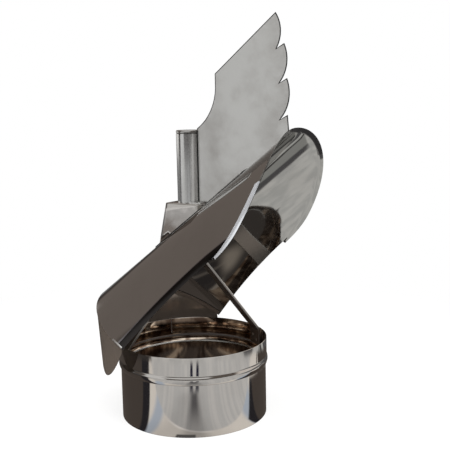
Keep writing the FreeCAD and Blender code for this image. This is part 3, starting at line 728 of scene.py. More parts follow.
# Painted highlight: a pale, bluish and less metallic tint on the near lip
def lip_finish():
    return handled(
        "painted lip highlight", colours().lip, BAND_RELIEF, metallic=0.7,
        smudges=0.3, scratches=0.4, smooth=0.12, dull=0.25,
    )


# Painted shade: the hood's own sheet, tinted darker, browner and less metallic
def apron_finish():
    return handled(
        "apron sheet", colours().apron, metallic=0.7,
        smudges=0.4, scratches=0.2, smooth=0.1, dull=0.2,
    )


# Painted shade: a dark tint on the inner face of the lip's crown
def crown_shade_finish():
    return handled(
        "painted shade on the lip's crown", colours().crown, BAND_RELIEF,
        smudges=0.3, scratches=0.4, smooth=0.12, dull=0.25,
    )


# Painted shade along the hood's free edges, and a paler painted line beside it
def shade_band_finish():
    return handled("painted shade band", colours().shaded, smudges=0.3, scratches=0.2, smooth=0.1, dull=0.2)


def shade_band_line_finish():
    return handled("painted line beside the shade band", colours().shade_band_line, smudges=0.2, scratches=0.2, smooth=0.1, dull=0.2)


def bracket_finish():
    return handled(
        "bracket polish", colours().bracket, (0.5, 0.0016), dents=2.5,
        smudges=0.4, scratches=0.4, smooth=0.05, dull=0.2,
    )


# Painted highlight: a near-white tint on folds, beads, seams, welds and eased edges
def highlight_finish():
    return handled(
        "painted highlight", colours().bright, EDGE_RELIEF,
        smudges=0.2, scratches=0.3, smooth=0.28, dull=0.4,
    )


def collar_finish():
    return handled(
        "collar polish", colours().collar, BAND_RELIEF,
        smudges=0.35, scratches=0.5, smooth=0.06, dull=0.2,
    )


# The collar's inner face: a pale tint with painted reflection patches running up it
def collar_inside_finish():
    return handled(
        "collar inside", colours().collar_inside, BAND_RELIEF, reflection_patches=1.0,
        smudges=0.2, scratches=0.4, smooth=0.07, dull=0.2,
    )


def wing_finish():
    return handled(
        "wing sheet", colours().wing, (0.03, 0.0005),
        smudges=1.0, scratches=0.3, smooth=0.28, dull=0.36,
    )


# Painted shade: a near-black tint on the sheets' edges, round the wing's outline and in the joint under the
# cap
def edge_shade_finish():
    return handled(
        "painted edge shade", colours().edge, EDGE_RELIEF,
        smudges=0.0, scratches=0.6, smooth=0.35, dull=0.6,
    )


def bar_finish():
    return handled(
        "flat bar", colours().bar, (0.25, 0.0004),
        smudges=0.8, scratches=0.4, smooth=0.28, dull=0.5,
    )


def tube_finish():
    return drawn("drawn tube", colours().tube, along=3.0, round=420.0, contrast=0.22, roughness=0.17)


def cap_finish():
    return drawn("turned cap", colours().cap, along=900.0, round=40.0, contrast=0.2, roughness=0.24)


def plated_finish():
    return drawn(
        "plated steel", colours().plated, (0.2, 0.0002),
        along=900.0, round=60.0, contrast=0.3, roughness=0.3,
    )


def ground_finish():
    return drawn(
        "ground steel", colours().ground, (0.05, 0.0001),
        along=1500.0, round=20.0, contrast=0.12, roughness=0.12,
    )


def cage_finish():
    return drawn(
        "cage brass", colours().cage, (0.1, 0.0001),
        along=900.0, round=60.0, contrast=0.3, roughness=0.28,
    )


# Hood surfaces


def hood_radius(hood, along):
    """Radius of the half-round hood at a place along the ridge."""
    if along >= hood.mouth_foot:
        return hood.mouth_radius
    share = (hood.mouth_foot - along) / (hood.mouth_foot - hood.windward_foot)
    return hood.mouth_radius + (hood.windward_radius - hood.mouth_radius) * share**hood.windward_taper


def hood_point(hood, along, angle, off=0.0):
    """A point of the hood: distance along the ridge, angle from the ridge and distance off the outer face."""
    ridge = Vector((math.cos(hood.ridge_slope), 0, math.sin(hood.ridge_slope)))
    up = Vector((-math.sin(hood.ridge_slope), 0, math.cos(hood.ridge_slope)))
    radius = hood_radius(hood, along)
    rise = radius * (math.cos(angle) - 1) + off * math.cos(angle)
    side = Vector((0, (radius + off) * math.sin(angle), 0))
    return Vector((0, 0, hood.ridge_level)) + ridge * along + up * rise + side


def edge_angle(hood, along):
    """Half the angle that the sheet spans at a place along the ridge."""
    share = (hood.mouth_foot - along) / (hood.mouth_foot - hood.windward_foot)
    share = min(max(share, 0.0), WIDENING)
    bow = hood.edge_bow * math.sin(math.pi * min(share, 1.0))
    return hood.mouth_angle + (hood.windward_angle - hood.mouth_angle) * share - bow


def mouth_along(hood, side):
    """How far along the ridge the mouth's crease lies at a share of the way round."""
    depth = (1 - math.cos(abs(side) * hood.mouth_angle)) / (1 - math.cos(hood.mouth_angle))
    reach = (1 - min(depth, 1.0) ** hood.mouth_fullness) ** (1 / hood.mouth_fullness)
    foot = hood.mouth_foot - math.copysign(hood.mouth_skew, side)
    return foot + (hood.mouth_top - foot) * reach


def mitre_along(hood, side):
    """Where the mitre plane at the low end, slightly askew, cuts the hood. It is found by halving."""
    end = Vector((hood.ridge_end, 0, hood.ridge_level + hood.ridge_end * math.tan(hood.ridge_slope)))
    corners = []
    for hand in (-1, 1):
        foot = hood.windward_foot - hand * hood.mitre_skew
        corners.append(hood_point(hood, foot, hand * edge_angle(hood, foot)))
    square = (corners[0] - end).cross(corners[1] - end)

    def above(along):
        return (hood_point(hood, along, side * edge_angle(hood, along)) - end).dot(square) > 0

    low = 3 * hood.windward_foot
    high = 0.0
    at_low = above(low)
    for _ in range(40):
        middle = (low + high) / 2
        if above(middle) == at_low:
            low = middle
        else:
            high = middle
    return (low + high) / 2


def side_shares(count, reach=1.0):
    """Places round the sheet from one free edge to the other, closer together near the edges."""
    return [reach * math.sin(math.pi / 2 * (2 * index / count - 1)) for index in range(count + 1)]


def crease_frame(hood, side):
    """At the mouth's crease: the point, the face's normal and the way out of the mouth in the sheet."""
    step = 1e-3

    def crease(place, off=0.0):
        return hood_point(hood, mouth_along(hood, place), place * hood.mouth_angle, off)

    run = crease(min(side + step, 1.0)) - crease(max(side - step, -1.0))
    spot = crease(side)
    normal = (crease(side, 0.01) - spot).normalized()
    outward = run.cross(normal).normalized()
    if outward.x < 0:
        outward = -outward
    return spot, normal, outward


def lip_share(hood, side):
    """The lip narrows where it runs out at the free edges."""
    fade = min(1.0, (1 - abs(side)) / hood.lip_fade)
    return hood.lip_end + (1 - hood.lip_end) * fade * (2 - fade)


def apron_length(hood, side):
    """How far the apron hangs below the mitre: level along its middle and rounded up to each free edge."""
    rise = max(0.0, abs(side) - hood.apron_flat) / (1 - hood.apron_flat)
    return hood.apron_corner + (hood.apron_drop - hood.apron_corner) * (1 - rise**hood.apron_round)


def hood_over(hood, x, y, off):
    """The point of the hood that lies at this place seen from above, some distance off its outer face."""
    along = x / math.cos(hood.ridge_slope)
    for _ in range(6):
        radius = hood_radius(hood, along)
        angle = math.asin(max(-1.0, min(1.0, y / (radius + off))))
        rise = radius * (math.cos(angle) - 1) + off * math.cos(angle)
        along = (x + math.sin(hood.ridge_slope) * rise) / math.cos(hood.ridge_slope)
    return hood_point(hood, along, angle, off)


# Operators


class MakeCollar(Operator):
    """Rolls the collar with its bead, its smaller skirt and its lap seam"""

    bl_idname = "cap.make_collar"
    bl_label = "Collar"

    def execute(self, context):
        collar = context.scene.cap_collar
        outer, inner, highlighted, seam_foot = self.profile(collar)

        def paint(index):
            """The bead's hollow side takes a painted highlight, and the rest of the inner face has its own
            finish.
            """
            return 1 if index in highlighted else 2 if index > len(outer) else 0

        mesh = lathe("collar_band", outer + inner, 192, 35, paint)
        piece = add_piece("collar_band", mesh, "base", "collar_sheet", "collar")
        coat(piece, collar_finish(), highlight_finish(), collar_inside_finish())
        self.mark_seam(collar, seam_foot)
        return {"FINISHED"}

    def profile(self, collar):
        """The sheet's outer and inner lines, the stretch among them that takes a painted highlight and the
        level over the cove.
        """
        land = 0.0006
        bead_steps = 14
        cove_steps = 8
        edge = collar.edge
        wall = collar.sheet
        cove = collar.cove
        half = collar.bead_width / 2
        bead = (half**2 + collar.bead_proud**2) / (2 * collar.bead_proud)
        centre = (collar.band_radius + collar.bead_proud - bead, collar.bead_level)
        low_turn = math.acos(min(1.0, (collar.skirt_radius - centre[0]) / bead))
        start = -min(low_turn, math.asin(half / bead) * 1.25)
        below = centre[1] + bead * math.sin(start) - land
        rise = math.sqrt((bead + cove) ** 2 - (collar.band_radius + cove - centre[0]) ** 2)
        lean = math.asin(rise / (bead + cove))
        hollow = (collar.band_radius + cove, centre[1] + rise)
        skirt = [0.0, 0.25 * below, 0.5 * below, 0.75 * below, below - wall, below]
        outer = [(collar.skirt_radius, level) for level in skirt]
        outer += arc_points(centre, bead, start, lean, bead_steps)
        outer += arc_points(hollow, cove, math.pi + lean, math.pi, cove_steps)[1:]
        outer += [(collar.band_radius, hollow[1] + land)]
        outer += [(collar.band_radius, collar.height - edge)]
        outer += [(collar.band_radius - 0.75 * edge, collar.height)]
        inside = collar.band_radius - wall
        inner = [(inside + edge / 2, collar.height), (inside, collar.height - edge)]
        inner += [(inside, hollow[1] + land)]
        first = len(outer) + len(inner)
        inner += arc_points(hollow, cove + wall, math.pi, math.pi + lean, cove_steps)
        inner += arc_points(centre, bead - wall, lean, start, bead_steps)[1:]
        last = len(outer) + len(inner)
        inner += [(collar.skirt_radius - wall, level) for level in reversed(skirt)]
        return outer, inner, (*range(first + 4, first + 10), last - 2, last - 1), hollow[1]

    def mark_seam(self, collar, foot):
        """The lap seam's edge, from the cove to the rim inside the band, tinted as a painted highlight."""
        margin = 0.001
        thickness = 0.0003
        reach = collar.band_radius - collar.sheet - GAP
        rows = []
        for level in (foot + margin, collar.height - margin):
            row = []
            for step in range(5):
                turn = collar.seam + collar.seam_width * step / 4 / collar.band_radius
                row.append(Vector((reach * math.cos(turn), reach * math.sin(turn), level)))
            rows.append(row)
        mesh = sheet_from_grid("collar_seam", rows, thickness)
        coat(add_piece("collar_seam", mesh, "base", "collar_sheet"), highlight_finish())


class MakeStrap(Operator):
    """Folds the flat bar into its arch and marks its spot welds"""

    bl_idname = "cap.make_strap"
    bl_label = "Strap"

    def execute(self, context):
        strap = context.scene.cap_strap
        collar = context.scene.cap_collar
        low = node_low("spindle_strap").z
        top = node_high("spindle_strap").z
        wall = collar.band_radius - collar.sheet
        face = math.sqrt(wall**2 - (strap.width / 2) ** 2) - GAP
        middle = strap.thickness / 2
        right = [
            Vector((strap.half_top - middle * 0.6, top - middle)),
            Vector((face - middle, strap.bend - middle * 0.5)),
            Vector((face - middle, low)),
        ]
        corners = [Vector((-corner.x, corner.y)) for corner in reversed(right)] + right
        path = [corners[0]]
        for before, here, after in zip(corners, corners[1:], corners[2:]):
            into = (here - before).normalized()
            away = (after - here).normalized()
            start = here - into * strap.bend_reach
            end = here + away * strap.bend_reach
            path += [start.lerp(here, t).lerp(here.lerp(end, t), t) for t in (0.0, 0.2, 0.4, 0.6, 0.8, 1.0)]
        path.append(corners[-1])
        across = Vector((-math.sin(strap.turn), math.cos(strap.turn), 0))
        along = Vector((math.cos(strap.turn), math.sin(strap.turn), 0))
        half = strap.width / 2
        edge = strap.edge
        section = [
            (-half + edge, middle), (half - edge, middle), (half, middle - edge), (half, -middle + edge),
            (half - edge, -middle), (-half + edge, -middle), (-half, -middle + edge), (-half, middle - edge),
        ]
        points = []
        for index, spot in enumerate(path):
            before = path[max(index - 1, 0)]
            after = path[min(index + 1, len(path) - 1)]
            run = (after - before).normalized()
            out = Vector((-run.y, run.x))
            for shift, off in section:
                flat = spot + out * off
                points.append(tuple(along * flat.x + Vector((0, 0, flat.y)) + across * shift))
        count = len(section)
        faces = [tuple(range(count)), tuple((len(path) - 1) * count + k for k in reversed(range(count)))]
        faces += walls_between(len(path), count)
        # The eased corners of the bar take a painted highlight
        paints = [0, 0] + [k % 2 for k in range(count)] * (len(path) - 1)
        mesh = mesh_from("strap_arch", points, faces, 30, paints)
        piece = add_piece("strap_arch", mesh, "base", "strap_bar", "spindle_strap")
        coat(piece, bar_finish(), highlight_finish())
        self.mark_welds("left_welds", along * (strap.thickness - face), -along, across, low)
        self.mark_welds("right_welds", along * (face - strap.thickness), along, across, low)
        return {"FINISHED"}

    def mark_welds(self, name, foot, out, across, low):
        """Two spot welds on one foot of the strap, each a low ring round a dished middle, tinted as a painted
        highlight.
        """
        points = []
        faces = []
        for shift, level in WELD_SPOTS:
            centre = foot + across * shift + Vector((0, 0, low + level))
            first = len(points)
            for reach, rise in WELD_RINGS:
                for step in range(WELD_STEPS):
                    turn = 2 * math.pi * step / WELD_STEPS
                    spot = centre + across * (reach * math.cos(turn)) + Vector((0, 0, reach * math.sin(turn)))
                    points.append(tuple(spot - out * rise))
            faces += walls_between(len(WELD_RINGS), WELD_STEPS, first)
            faces.append(tuple(len(points) - WELD_STEPS + step for step in range(WELD_STEPS)))
        coat(add_piece(name, mesh_from(name, points, faces, 30), "base", "strap_bar"), highlight_finish())


class MakeScoop(Operator):
    """Forms the half-round hood sheet with its flared mouth"""

    bl_idname = "cap.make_scoop"
    bl_label = "Hood"

    def execute(self, context):
        hood = context.scene.cap_hood
        # Shares round the sheet where the painted shade band and its paler line begin
        shade_band = 1 - hood.shade_band
        line = shade_band - hood.shade_band * hood.shade_band_line
        crowded = 0.012
        shares = [side for side in side_shares(120) if abs(abs(side) - shade_band) > crowded]
        shares = sorted(shares + [-shade_band, -line, line, shade_band])
        rows = [list(row) for row in zip(*[self.column(hood, side) for side in shares])]

        def paint(i, j):
            """The outer face, with a painted shade band and a paler painted line beside it along the free
            edges, and a painted highlight on the near lip.
            """
            middle = abs(shares[j] + shares[j + 1]) / 2
            if i >= BODY_STEPS - 1:
                return 6 if shares[j] < -hood.lip_bright else 0
            return 2 if middle > shade_band else 1 if middle > line else 0

        def inside(i, j):
            """The inner face, with painted shade on the crown of the lip."""
            return 5 if i >= BODY_STEPS and -hood.crown_near < shares[j] < hood.crown else 4

        thickness = hood.sheet - 1.5 * hood.ease
        mesh = sheet_from_grid("hood_sheet", rows, thickness, paint=paint, rim=3, inside=inside)
        piece = add_piece("hood_sheet", mesh, "rotor", "hood_sheet", "hood_scoop")
        coat(
            piece, hood_finish(), shade_band_line_finish(), shade_band_finish(), edge_shade_finish(), inside_finish(),
            crown_shade_finish(), lip_finish(),
        )
        return {"FINISHED"}

    def column(self, hood, side):
        """The sheet from the mitre to the mouth's crease and out along the lip, at one place round it."""
        # The lip stops a little short of the solid's rim and takes its whole flare near the crease
        lip_kept = 0.95
        curl = 2.5
        start = mitre_along(hood, side)
        end = mouth_along(hood, side)
        points = []
        for index in range(BODY_STEPS):
            along = start + (end - start) * index / BODY_STEPS
            points.append(hood_point(hood, along, side * edge_angle(hood, along), -hood.ease))
        spot, normal, outward = crease_frame(hood, side)
        points.append(spot - normal * hood.ease)
        width = hood.lip_width * lip_share(hood, side) * lip_kept
        for index in range(1, LIP_STEPS + 1):
            bend = hood.lip_flare * min(1.0, index / LIP_STEPS * curl)
            lean = outward * math.cos(bend) + normal * math.sin(bend)
            points.append(points[-1] + lean * (width / LIP_STEPS))
        return points


class MakeApron(Operator):
    """Forms the hanging apron at the low end of the hood"""

    bl_idname = "cap.make_apron"
    bl_label = "Apron"

    def execute(self, context):
        hood = context.scene.cap_hood
        down = Vector((math.sin(hood.apron_lean), 0, -math.cos(hood.apron_lean)))
        columns = []
        for side in side_shares(96, hood.apron_reach):
            along = mitre_along(hood, side)
            off = -hood.sheet - hood.ease
            length = apron_length(hood, side) - 2 * hood.ease
            column = []
            for index in range(BEND_STEPS):
                lap = along + hood.seam_lap * (1 - index / BEND_STEPS)
                column.append(hood_point(hood, lap, side * edge_angle(hood, lap), off))
            bend = hood_point(hood, along, side * edge_angle(hood, along), off)
            for index in range(APRON_STEPS + 1):
                column.append(bend + down * (length * index / APRON_STEPS))
            columns.append(column)
        rows = [list(row) for row in zip(*columns)]
        mesh = sheet_from_grid("hood_tongue", rows, 1.5 * hood.ease - hood.sheet, rim=1)
        piece = add_piece("hood_tongue", mesh, "rotor", "hood_sheet", "hood_apron")
        coat(piece, apron_finish(), edge_shade_finish())
        self.raise_seam(hood)
        return {"FINISHED"}

    def raise_seam(self, hood):
        """The mitre seam's bead beside each low corner, tinted as a painted highlight. It rises at the corner
        and dies away.
        """
        steps = 24
        rise_steps = 5
        skin = 0.0001
        for hand, name in ((-1, "near_seam_bead"), (1, "far_seam_bead")):
            rows = []
            for index in range(steps + 1):
                side = hand * (hood.apron_reach - hood.seam_reach * index / steps)
                along = mitre_along(hood, side)
                rise = math.sin(math.pi / 2 * min(1.0, index / rise_steps))
                proud = hood.seam_proud * rise * math.cos(math.pi / 2 * index / steps)
                row = []
                for step in range(9):
                    across = step / 4 - 1
                    place = along + 2 * skin + hood.seam_width * (across + 1) / 2
                    lift = skin + proud * math.sqrt(max(0.0, 1 - across**2))
                    row.append(hood_point(hood, place, side * edge_angle(hood, place), lift))
                rows.append(row)
            mesh = sheet_from_grid(name, rows, skin * hand)
            coat(add_piece(name, mesh, "rotor", "hood_sheet"), highlight_finish())


class MakeBracket(Operator):
    """Folds the bearing bracket with its round hole and its flange on the hood"""

    bl_idname = "cap.make_bracket"
    bl_label = "Bracket"

    def execute(self, context):
        box = context.scene.cap_bracket
        hood = context.scene.cap_hood
        hole = node_high("bearing_tube").x + box.gap
        fold = box.fold
        spots = self.outline(box)
        columns = []
        for spot, way in spots:
            turn = math.atan2(spot.y, spot.x)
            ring = Vector((math.cos(turn), math.sin(turn))) * hole
            column = []
            inner = spot - way * fold
            for share in (0.0, 0.35, 0.7, 1.0):
                flat = ring.lerp(inner, share)
                column.append(Vector((flat.x, flat.y, box.top)))
            for step in range(1, BEND_STEPS + 1):
                bend = math.pi / 2 * step / BEND_STEPS
                flat = inner + way * (fold * math.sin(bend))
                column.append(Vector((flat.x, flat.y, box.top - fold * (1 - math.cos(bend)))))
            foot_flat = self.splayed(box, spot)
            rise = box.gap + box.sheet
            foot = hood_over(hood, foot_flat.x, foot_flat.y, rise)
            start = column[-1]
            for share in (0.2, 0.4, 0.6, 0.8, 0.97):
                column.append(start.lerp(foot, share))
            for reach in (0.12, 0.35, 0.7, 1.0):
                flat = foot_flat + way * (box.flange * reach)
                column.append(hood_over(hood, flat.x, flat.y, rise))
            columns.append(column)
        rows = [list(row) for row in zip(*columns)]
        mesh = sheet_from_grid("bracket_box", rows, box.sheet, closed=True, sharp_angle=35, rim=1)
        piece = add_piece("bracket_box", mesh, "rotor", "hood_sheet", "bearing_bracket")
        coat(piece, bracket_finish(), edge_shade_finish())
        return {"FINISHED"}

    def outline(self, box):
        """Places round the box's top with the way out of the box at each, through rounded corners."""
        wall_steps = 12
        spots = []
        corners = [
            (box.front, box.half_width, 0.0), (-box.back, box.half_width, 90.0),
            (-box.back, -box.half_width, 180.0), (box.front, -box.half_width, 270.0),
        ]
        for index, (x, y, begin) in enumerate(corners):
            centre = self.fold_centre(box, x, y)
            bend = []
            for step in range(BEND_STEPS + 1):
                turn = math.radians(begin + 90 * step / BEND_STEPS)
                way = Vector((math.cos(turn), math.sin(turn)))
                bend.append((centre + way * box.fold, way))
            target = self.fold_centre(box, *corners[(index + 1) % 4][:2])
            way = bend[-1][1]
            spots += bend
            for step in range(1, wall_steps):
                spots.append((centre.lerp(target, step / wall_steps) + way * box.fold, way))
        return spots

    def fold_centre(self, box, x, y):
        """The middle of the rounded corner whose sharp corner would lie here."""
        return Vector((x - math.copysign(box.fold, x), y - math.copysign(box.fold, y)))

    def splayed(self, box, spot):
        """Where a place of the top's outline meets the hood: the back wall leans outwards."""
        stretch = (box.back + box.splay) / box.back
        return Vector((spot.x * stretch if spot.x < 0 else spot.x, spot.y))


class MakeTube(Operator):
    """Turns the bearing tube and its cap"""

    bl_idname = "cap.make_tube"
    bl_label = "Bearing tube"

    def execute(self, context):
        tube = context.scene.cap_tube
        self.turn_tube(tube)
        self.turn_cap(tube)
        return {"FINISHED"}

    def turn_tube(self, tube):
        """The tube with a groove for each snap ring."""
        outer = node_high("bearing_tube").x
        foot = node_low("bearing_tube").z
        top = node_high("bearing_tube").z
        bore = node_high("outer_sleeve").x + tube.play
        deep = node_high("tube_snap_rings").x + tube.play
        race = node_low("lower_outer_race").z
        over = node_high("upper_outer_race").z
        edge = tube.edge
        profile = [
            (bore, foot), (outer - edge, foot), (outer, foot + edge),
            (outer, top - edge), (outer - edge, top), (bore, top),
            (bore, over + tube.ring), (deep, over + tube.ring), (deep, over), (bore, over),
            (bore, race), (deep, race), (deep, race - tube.ring), (bore, race - tube.ring),
        ]
        mesh = lathe("tube_shell", profile, 96)
        piece = add_piece("tube_shell", mesh, "rotor", "tube_steel", "bearing_tube")
        coat(piece, tube_finish())

    def turn_cap(self, tube):
        """The cap: a plug in the tube, a joint under its rim in painted shade and a raised band round its
        face.
        """
        rim = node_high("tube_cap").x
        under = node_low("tube_cap").z
        crown = node_high("tube_cap").z
        top = node_high("bearing_tube").z
        plug = node_high("outer_sleeve").x - tube.play
        edge = tube.edge
        face = crown - edge
        shoulder = 0.00035
        fall = 0.0005
        profile = [
            (0.0, under), (plug, under), (plug, top),
            (rim - tube.joint, top), (rim - tube.joint, top + tube.joint), (rim, top + tube.joint + edge / 3),
            (rim, crown - tube.cap_edge), (rim - edge, crown - shoulder), (rim - tube.cap_edge, crown),
            (rim - tube.cap_face, crown), (rim - tube.cap_face - fall, face), (0.0, face),
        ]

        def paint(index):
            """The joint is in painted shade and the rounded edge takes a painted highlight."""
            return 1 if index in (3, 4) else 2 if index in (6, 7) else 0

        mesh = lathe("cap_disc", profile, 96, 30, paint)
        piece = add_piece("cap_disc", mesh, "rotor", "tube_steel", "tube_cap")
        coat(piece, cap_finish(), edge_shade_finish(), highlight_finish())


class MakeWing(Operator):
    """Cuts the feathered wing with a painted shade line round its edge and folds its foot and toe"""

    bl_idname = "cap.make_wing"
    bl_label = "Wing"

    def execute(self, context):
        wing = context.scene.cap_wing
        outer = self.outline(context, wing)
        inner = drawn_in(outer, wing.edge)
        half = wing.sheet / 2
        bevel = wing.bevel
        count = len(outer)
        points = []
        for loop, y in ((inner, -half), (outer, bevel - half), (outer, half - bevel), (inner, half)):
            points += [(spot.x, y, spot.y) for spot in loop]
        faces = [tuple(range(count)), tuple(3 * count + k for k in reversed(range(count)))]
        faces += walls_between(4, count)
        # The band between the outline and the drawn-in loop takes painted shade, on both faces and round the
        # edge
        paints = [0, 0] + [1] * (3 * count)
        mesh = mesh_from("wing_plate", points, faces, 5, paints)
        plate = add_piece("wing_plate", mesh, "rotor", "wing_sheet", "wing")
        coat(plate, wing_finish(), edge_shade_finish())
        self.fold_foot(context, wing)
        self.fold_toe(context, wing)
        return {"FINISHED"}

    def outline(self, context, wing):
        """The plate's outline along X and Z, from the tube along the bracket, ridge and feathers."""
        hood = context.scene.cap_hood
        box = context.scene.cap_bracket
        rise = math.tan(hood.ridge_slope)
        lift = hood.ridge_level + box.gap / math.cos(hood.ridge_slope)
        edge_x = node_high("bearing_tube").x + box.gap
        toe_z = box.top + box.gap
        front = box.front + box.flange + box.gap
        heel = Vector((wing.heel_x, lift + wing.heel_x * rise))
        top_tip = Vector((wing.tip_x, wing.tip_z))
        tips = []
        for share, reach in zip(wing.shares, wing.reaches):
            tips.append(heel.lerp(top_tip, share) + Vector((reach, 0)))
        tips.append(top_tip)
        shoulder = Vector((wing.shoulder_x, wing.shoulder_z))
        step = shoulder - Vector((0, wing.step))
        neck = Vector((edge_x, wing.neck_z))
        loop = [Vector((edge_x, toe_z)), Vector((front, toe_z)), Vector((front, lift + front * rise))]
        loop += [heel, tips[0]]
        for low_tip, high_tip in zip(tips, tips[1:]):
            notch = low_tip - Vector((wing.notch, wing.notch_drop))
            chord = high_tip - notch
            belly = (notch + high_tip) / 2 + Vector((chord.y, -chord.x)) * wing.fullness
            loop.append(notch)
            loop += [Vector(spot) for spot in arc_through(notch, belly, high_tip, 16)]
        loop += [shoulder, step]
        chord = step - neck
        hollow = (step + neck) / 2 + Vector((chord.y, -chord.x)).normalized() * wing.hollow
        loop += [Vector(spot) for spot in arc_through(step, hollow, neck, 20)]
        return loop

    def fold_foot(self, context, wing):
        """The strip folded out of the wing's base, with a painted highlight along its outer edge."""
        hood = context.scene.cap_hood
        box = context.scene.cap_bracket
        start = box.front + box.flange + box.gap
        rim = wing.foot_rim
        # The rim comes down towards the hood by this share of the sheet
        fall = 0.62
        thickness = 0.0003
        rows = []
        for index in range(FOOT_STEPS + 1):
            x = start + (wing.foot_end - start) * index / FOOT_STEPS
            wide = wing.foot_narrow + (wing.foot_wide - wing.foot_narrow) * index / FOOT_STEPS
            row = []
            for share in (0.0, 0.15, 0.3, 0.45, 0.6, 0.75, 0.88, 1.0):
                y = -(wing.sheet / 2) - (wide - rim - wing.sheet / 2) * share
                row.append(hood_over(hood, x, y, box.gap + wing.sheet))
            for share in (0.4, 0.75, 1.0):
                y = rim - wide - rim * share
                row.append(hood_over(hood, x, y, box.gap + wing.sheet * (1 - fall * share**2)))
            rows.append(row)
        mesh = sheet_from_grid("wing_foot", rows, thickness, paint=lambda i, j: 1 if j >= 7 else 0, rim=1)
        foot = add_piece("wing_foot", mesh, "rotor", "wing_sheet")
        coat(foot, hood_finish(), highlight_finish())

    def fold_toe(self, context, wing):
        """The small toe that lies on the bracket beside the tube."""
        box = context.scene.cap_bracket
        reach = node_high("bearing_tube").x + box.gap
        level = box.top + box.gap + wing.sheet
        rows = []
        for index in range(9):
            y = -wing.sheet / 2 - (wing.toe_width - wing.sheet / 2) * index / 8
            near = math.sqrt(reach**2 - y**2)
            row = []
            for share in (0.0, 0.25, 0.5, 0.75, 1.0):
                row.append(Vector((near + (reach + wing.toe_length - near) * share, y, level)))
            rows.append(row)
        # The toe's edges take a painted highlight
        mesh = sheet_from_grid("wing_toe", rows, wing.sheet, rim=1)
        coat(add_piece("wing_toe", mesh, "rotor", "wing_sheet"), wing_finish(), highlight_finish())


class FinishSpindle(Operator):
    """Gives the spindle, its fasteners, sleeves and rings their finish"""

    bl_idname = "cap.finish_spindle"
    bl_label = "Spindle and fasteners"

    def execute(self, context):
        for node in (
            "spindle", "strap_nuts", "strap_washers", "spindle_crown_nut", "inner_sleeve", "outer_sleeve",
            "tube_snap_rings", "wing_toe_rivet", "lower_shields", "upper_shields",
        ):
            coat(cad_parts[node], plated_finish())
        return {"FINISHED"}


class FinishBearings(Operator):
    """Gives the bearings their ground races and balls and their brass cages"""

    bl_idname = "cap.finish_bearings"
    bl_label = "Bearings"

    def execute(self, context):
        for side in ("lower", "upper"):
            for part in ("inner_race", "outer_race", "balls"):
                coat(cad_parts[f"{side}_{part}"], ground_finish())
            coat(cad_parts[f"{side}_cage"], cage_finish())
        return {"FINISHED"}


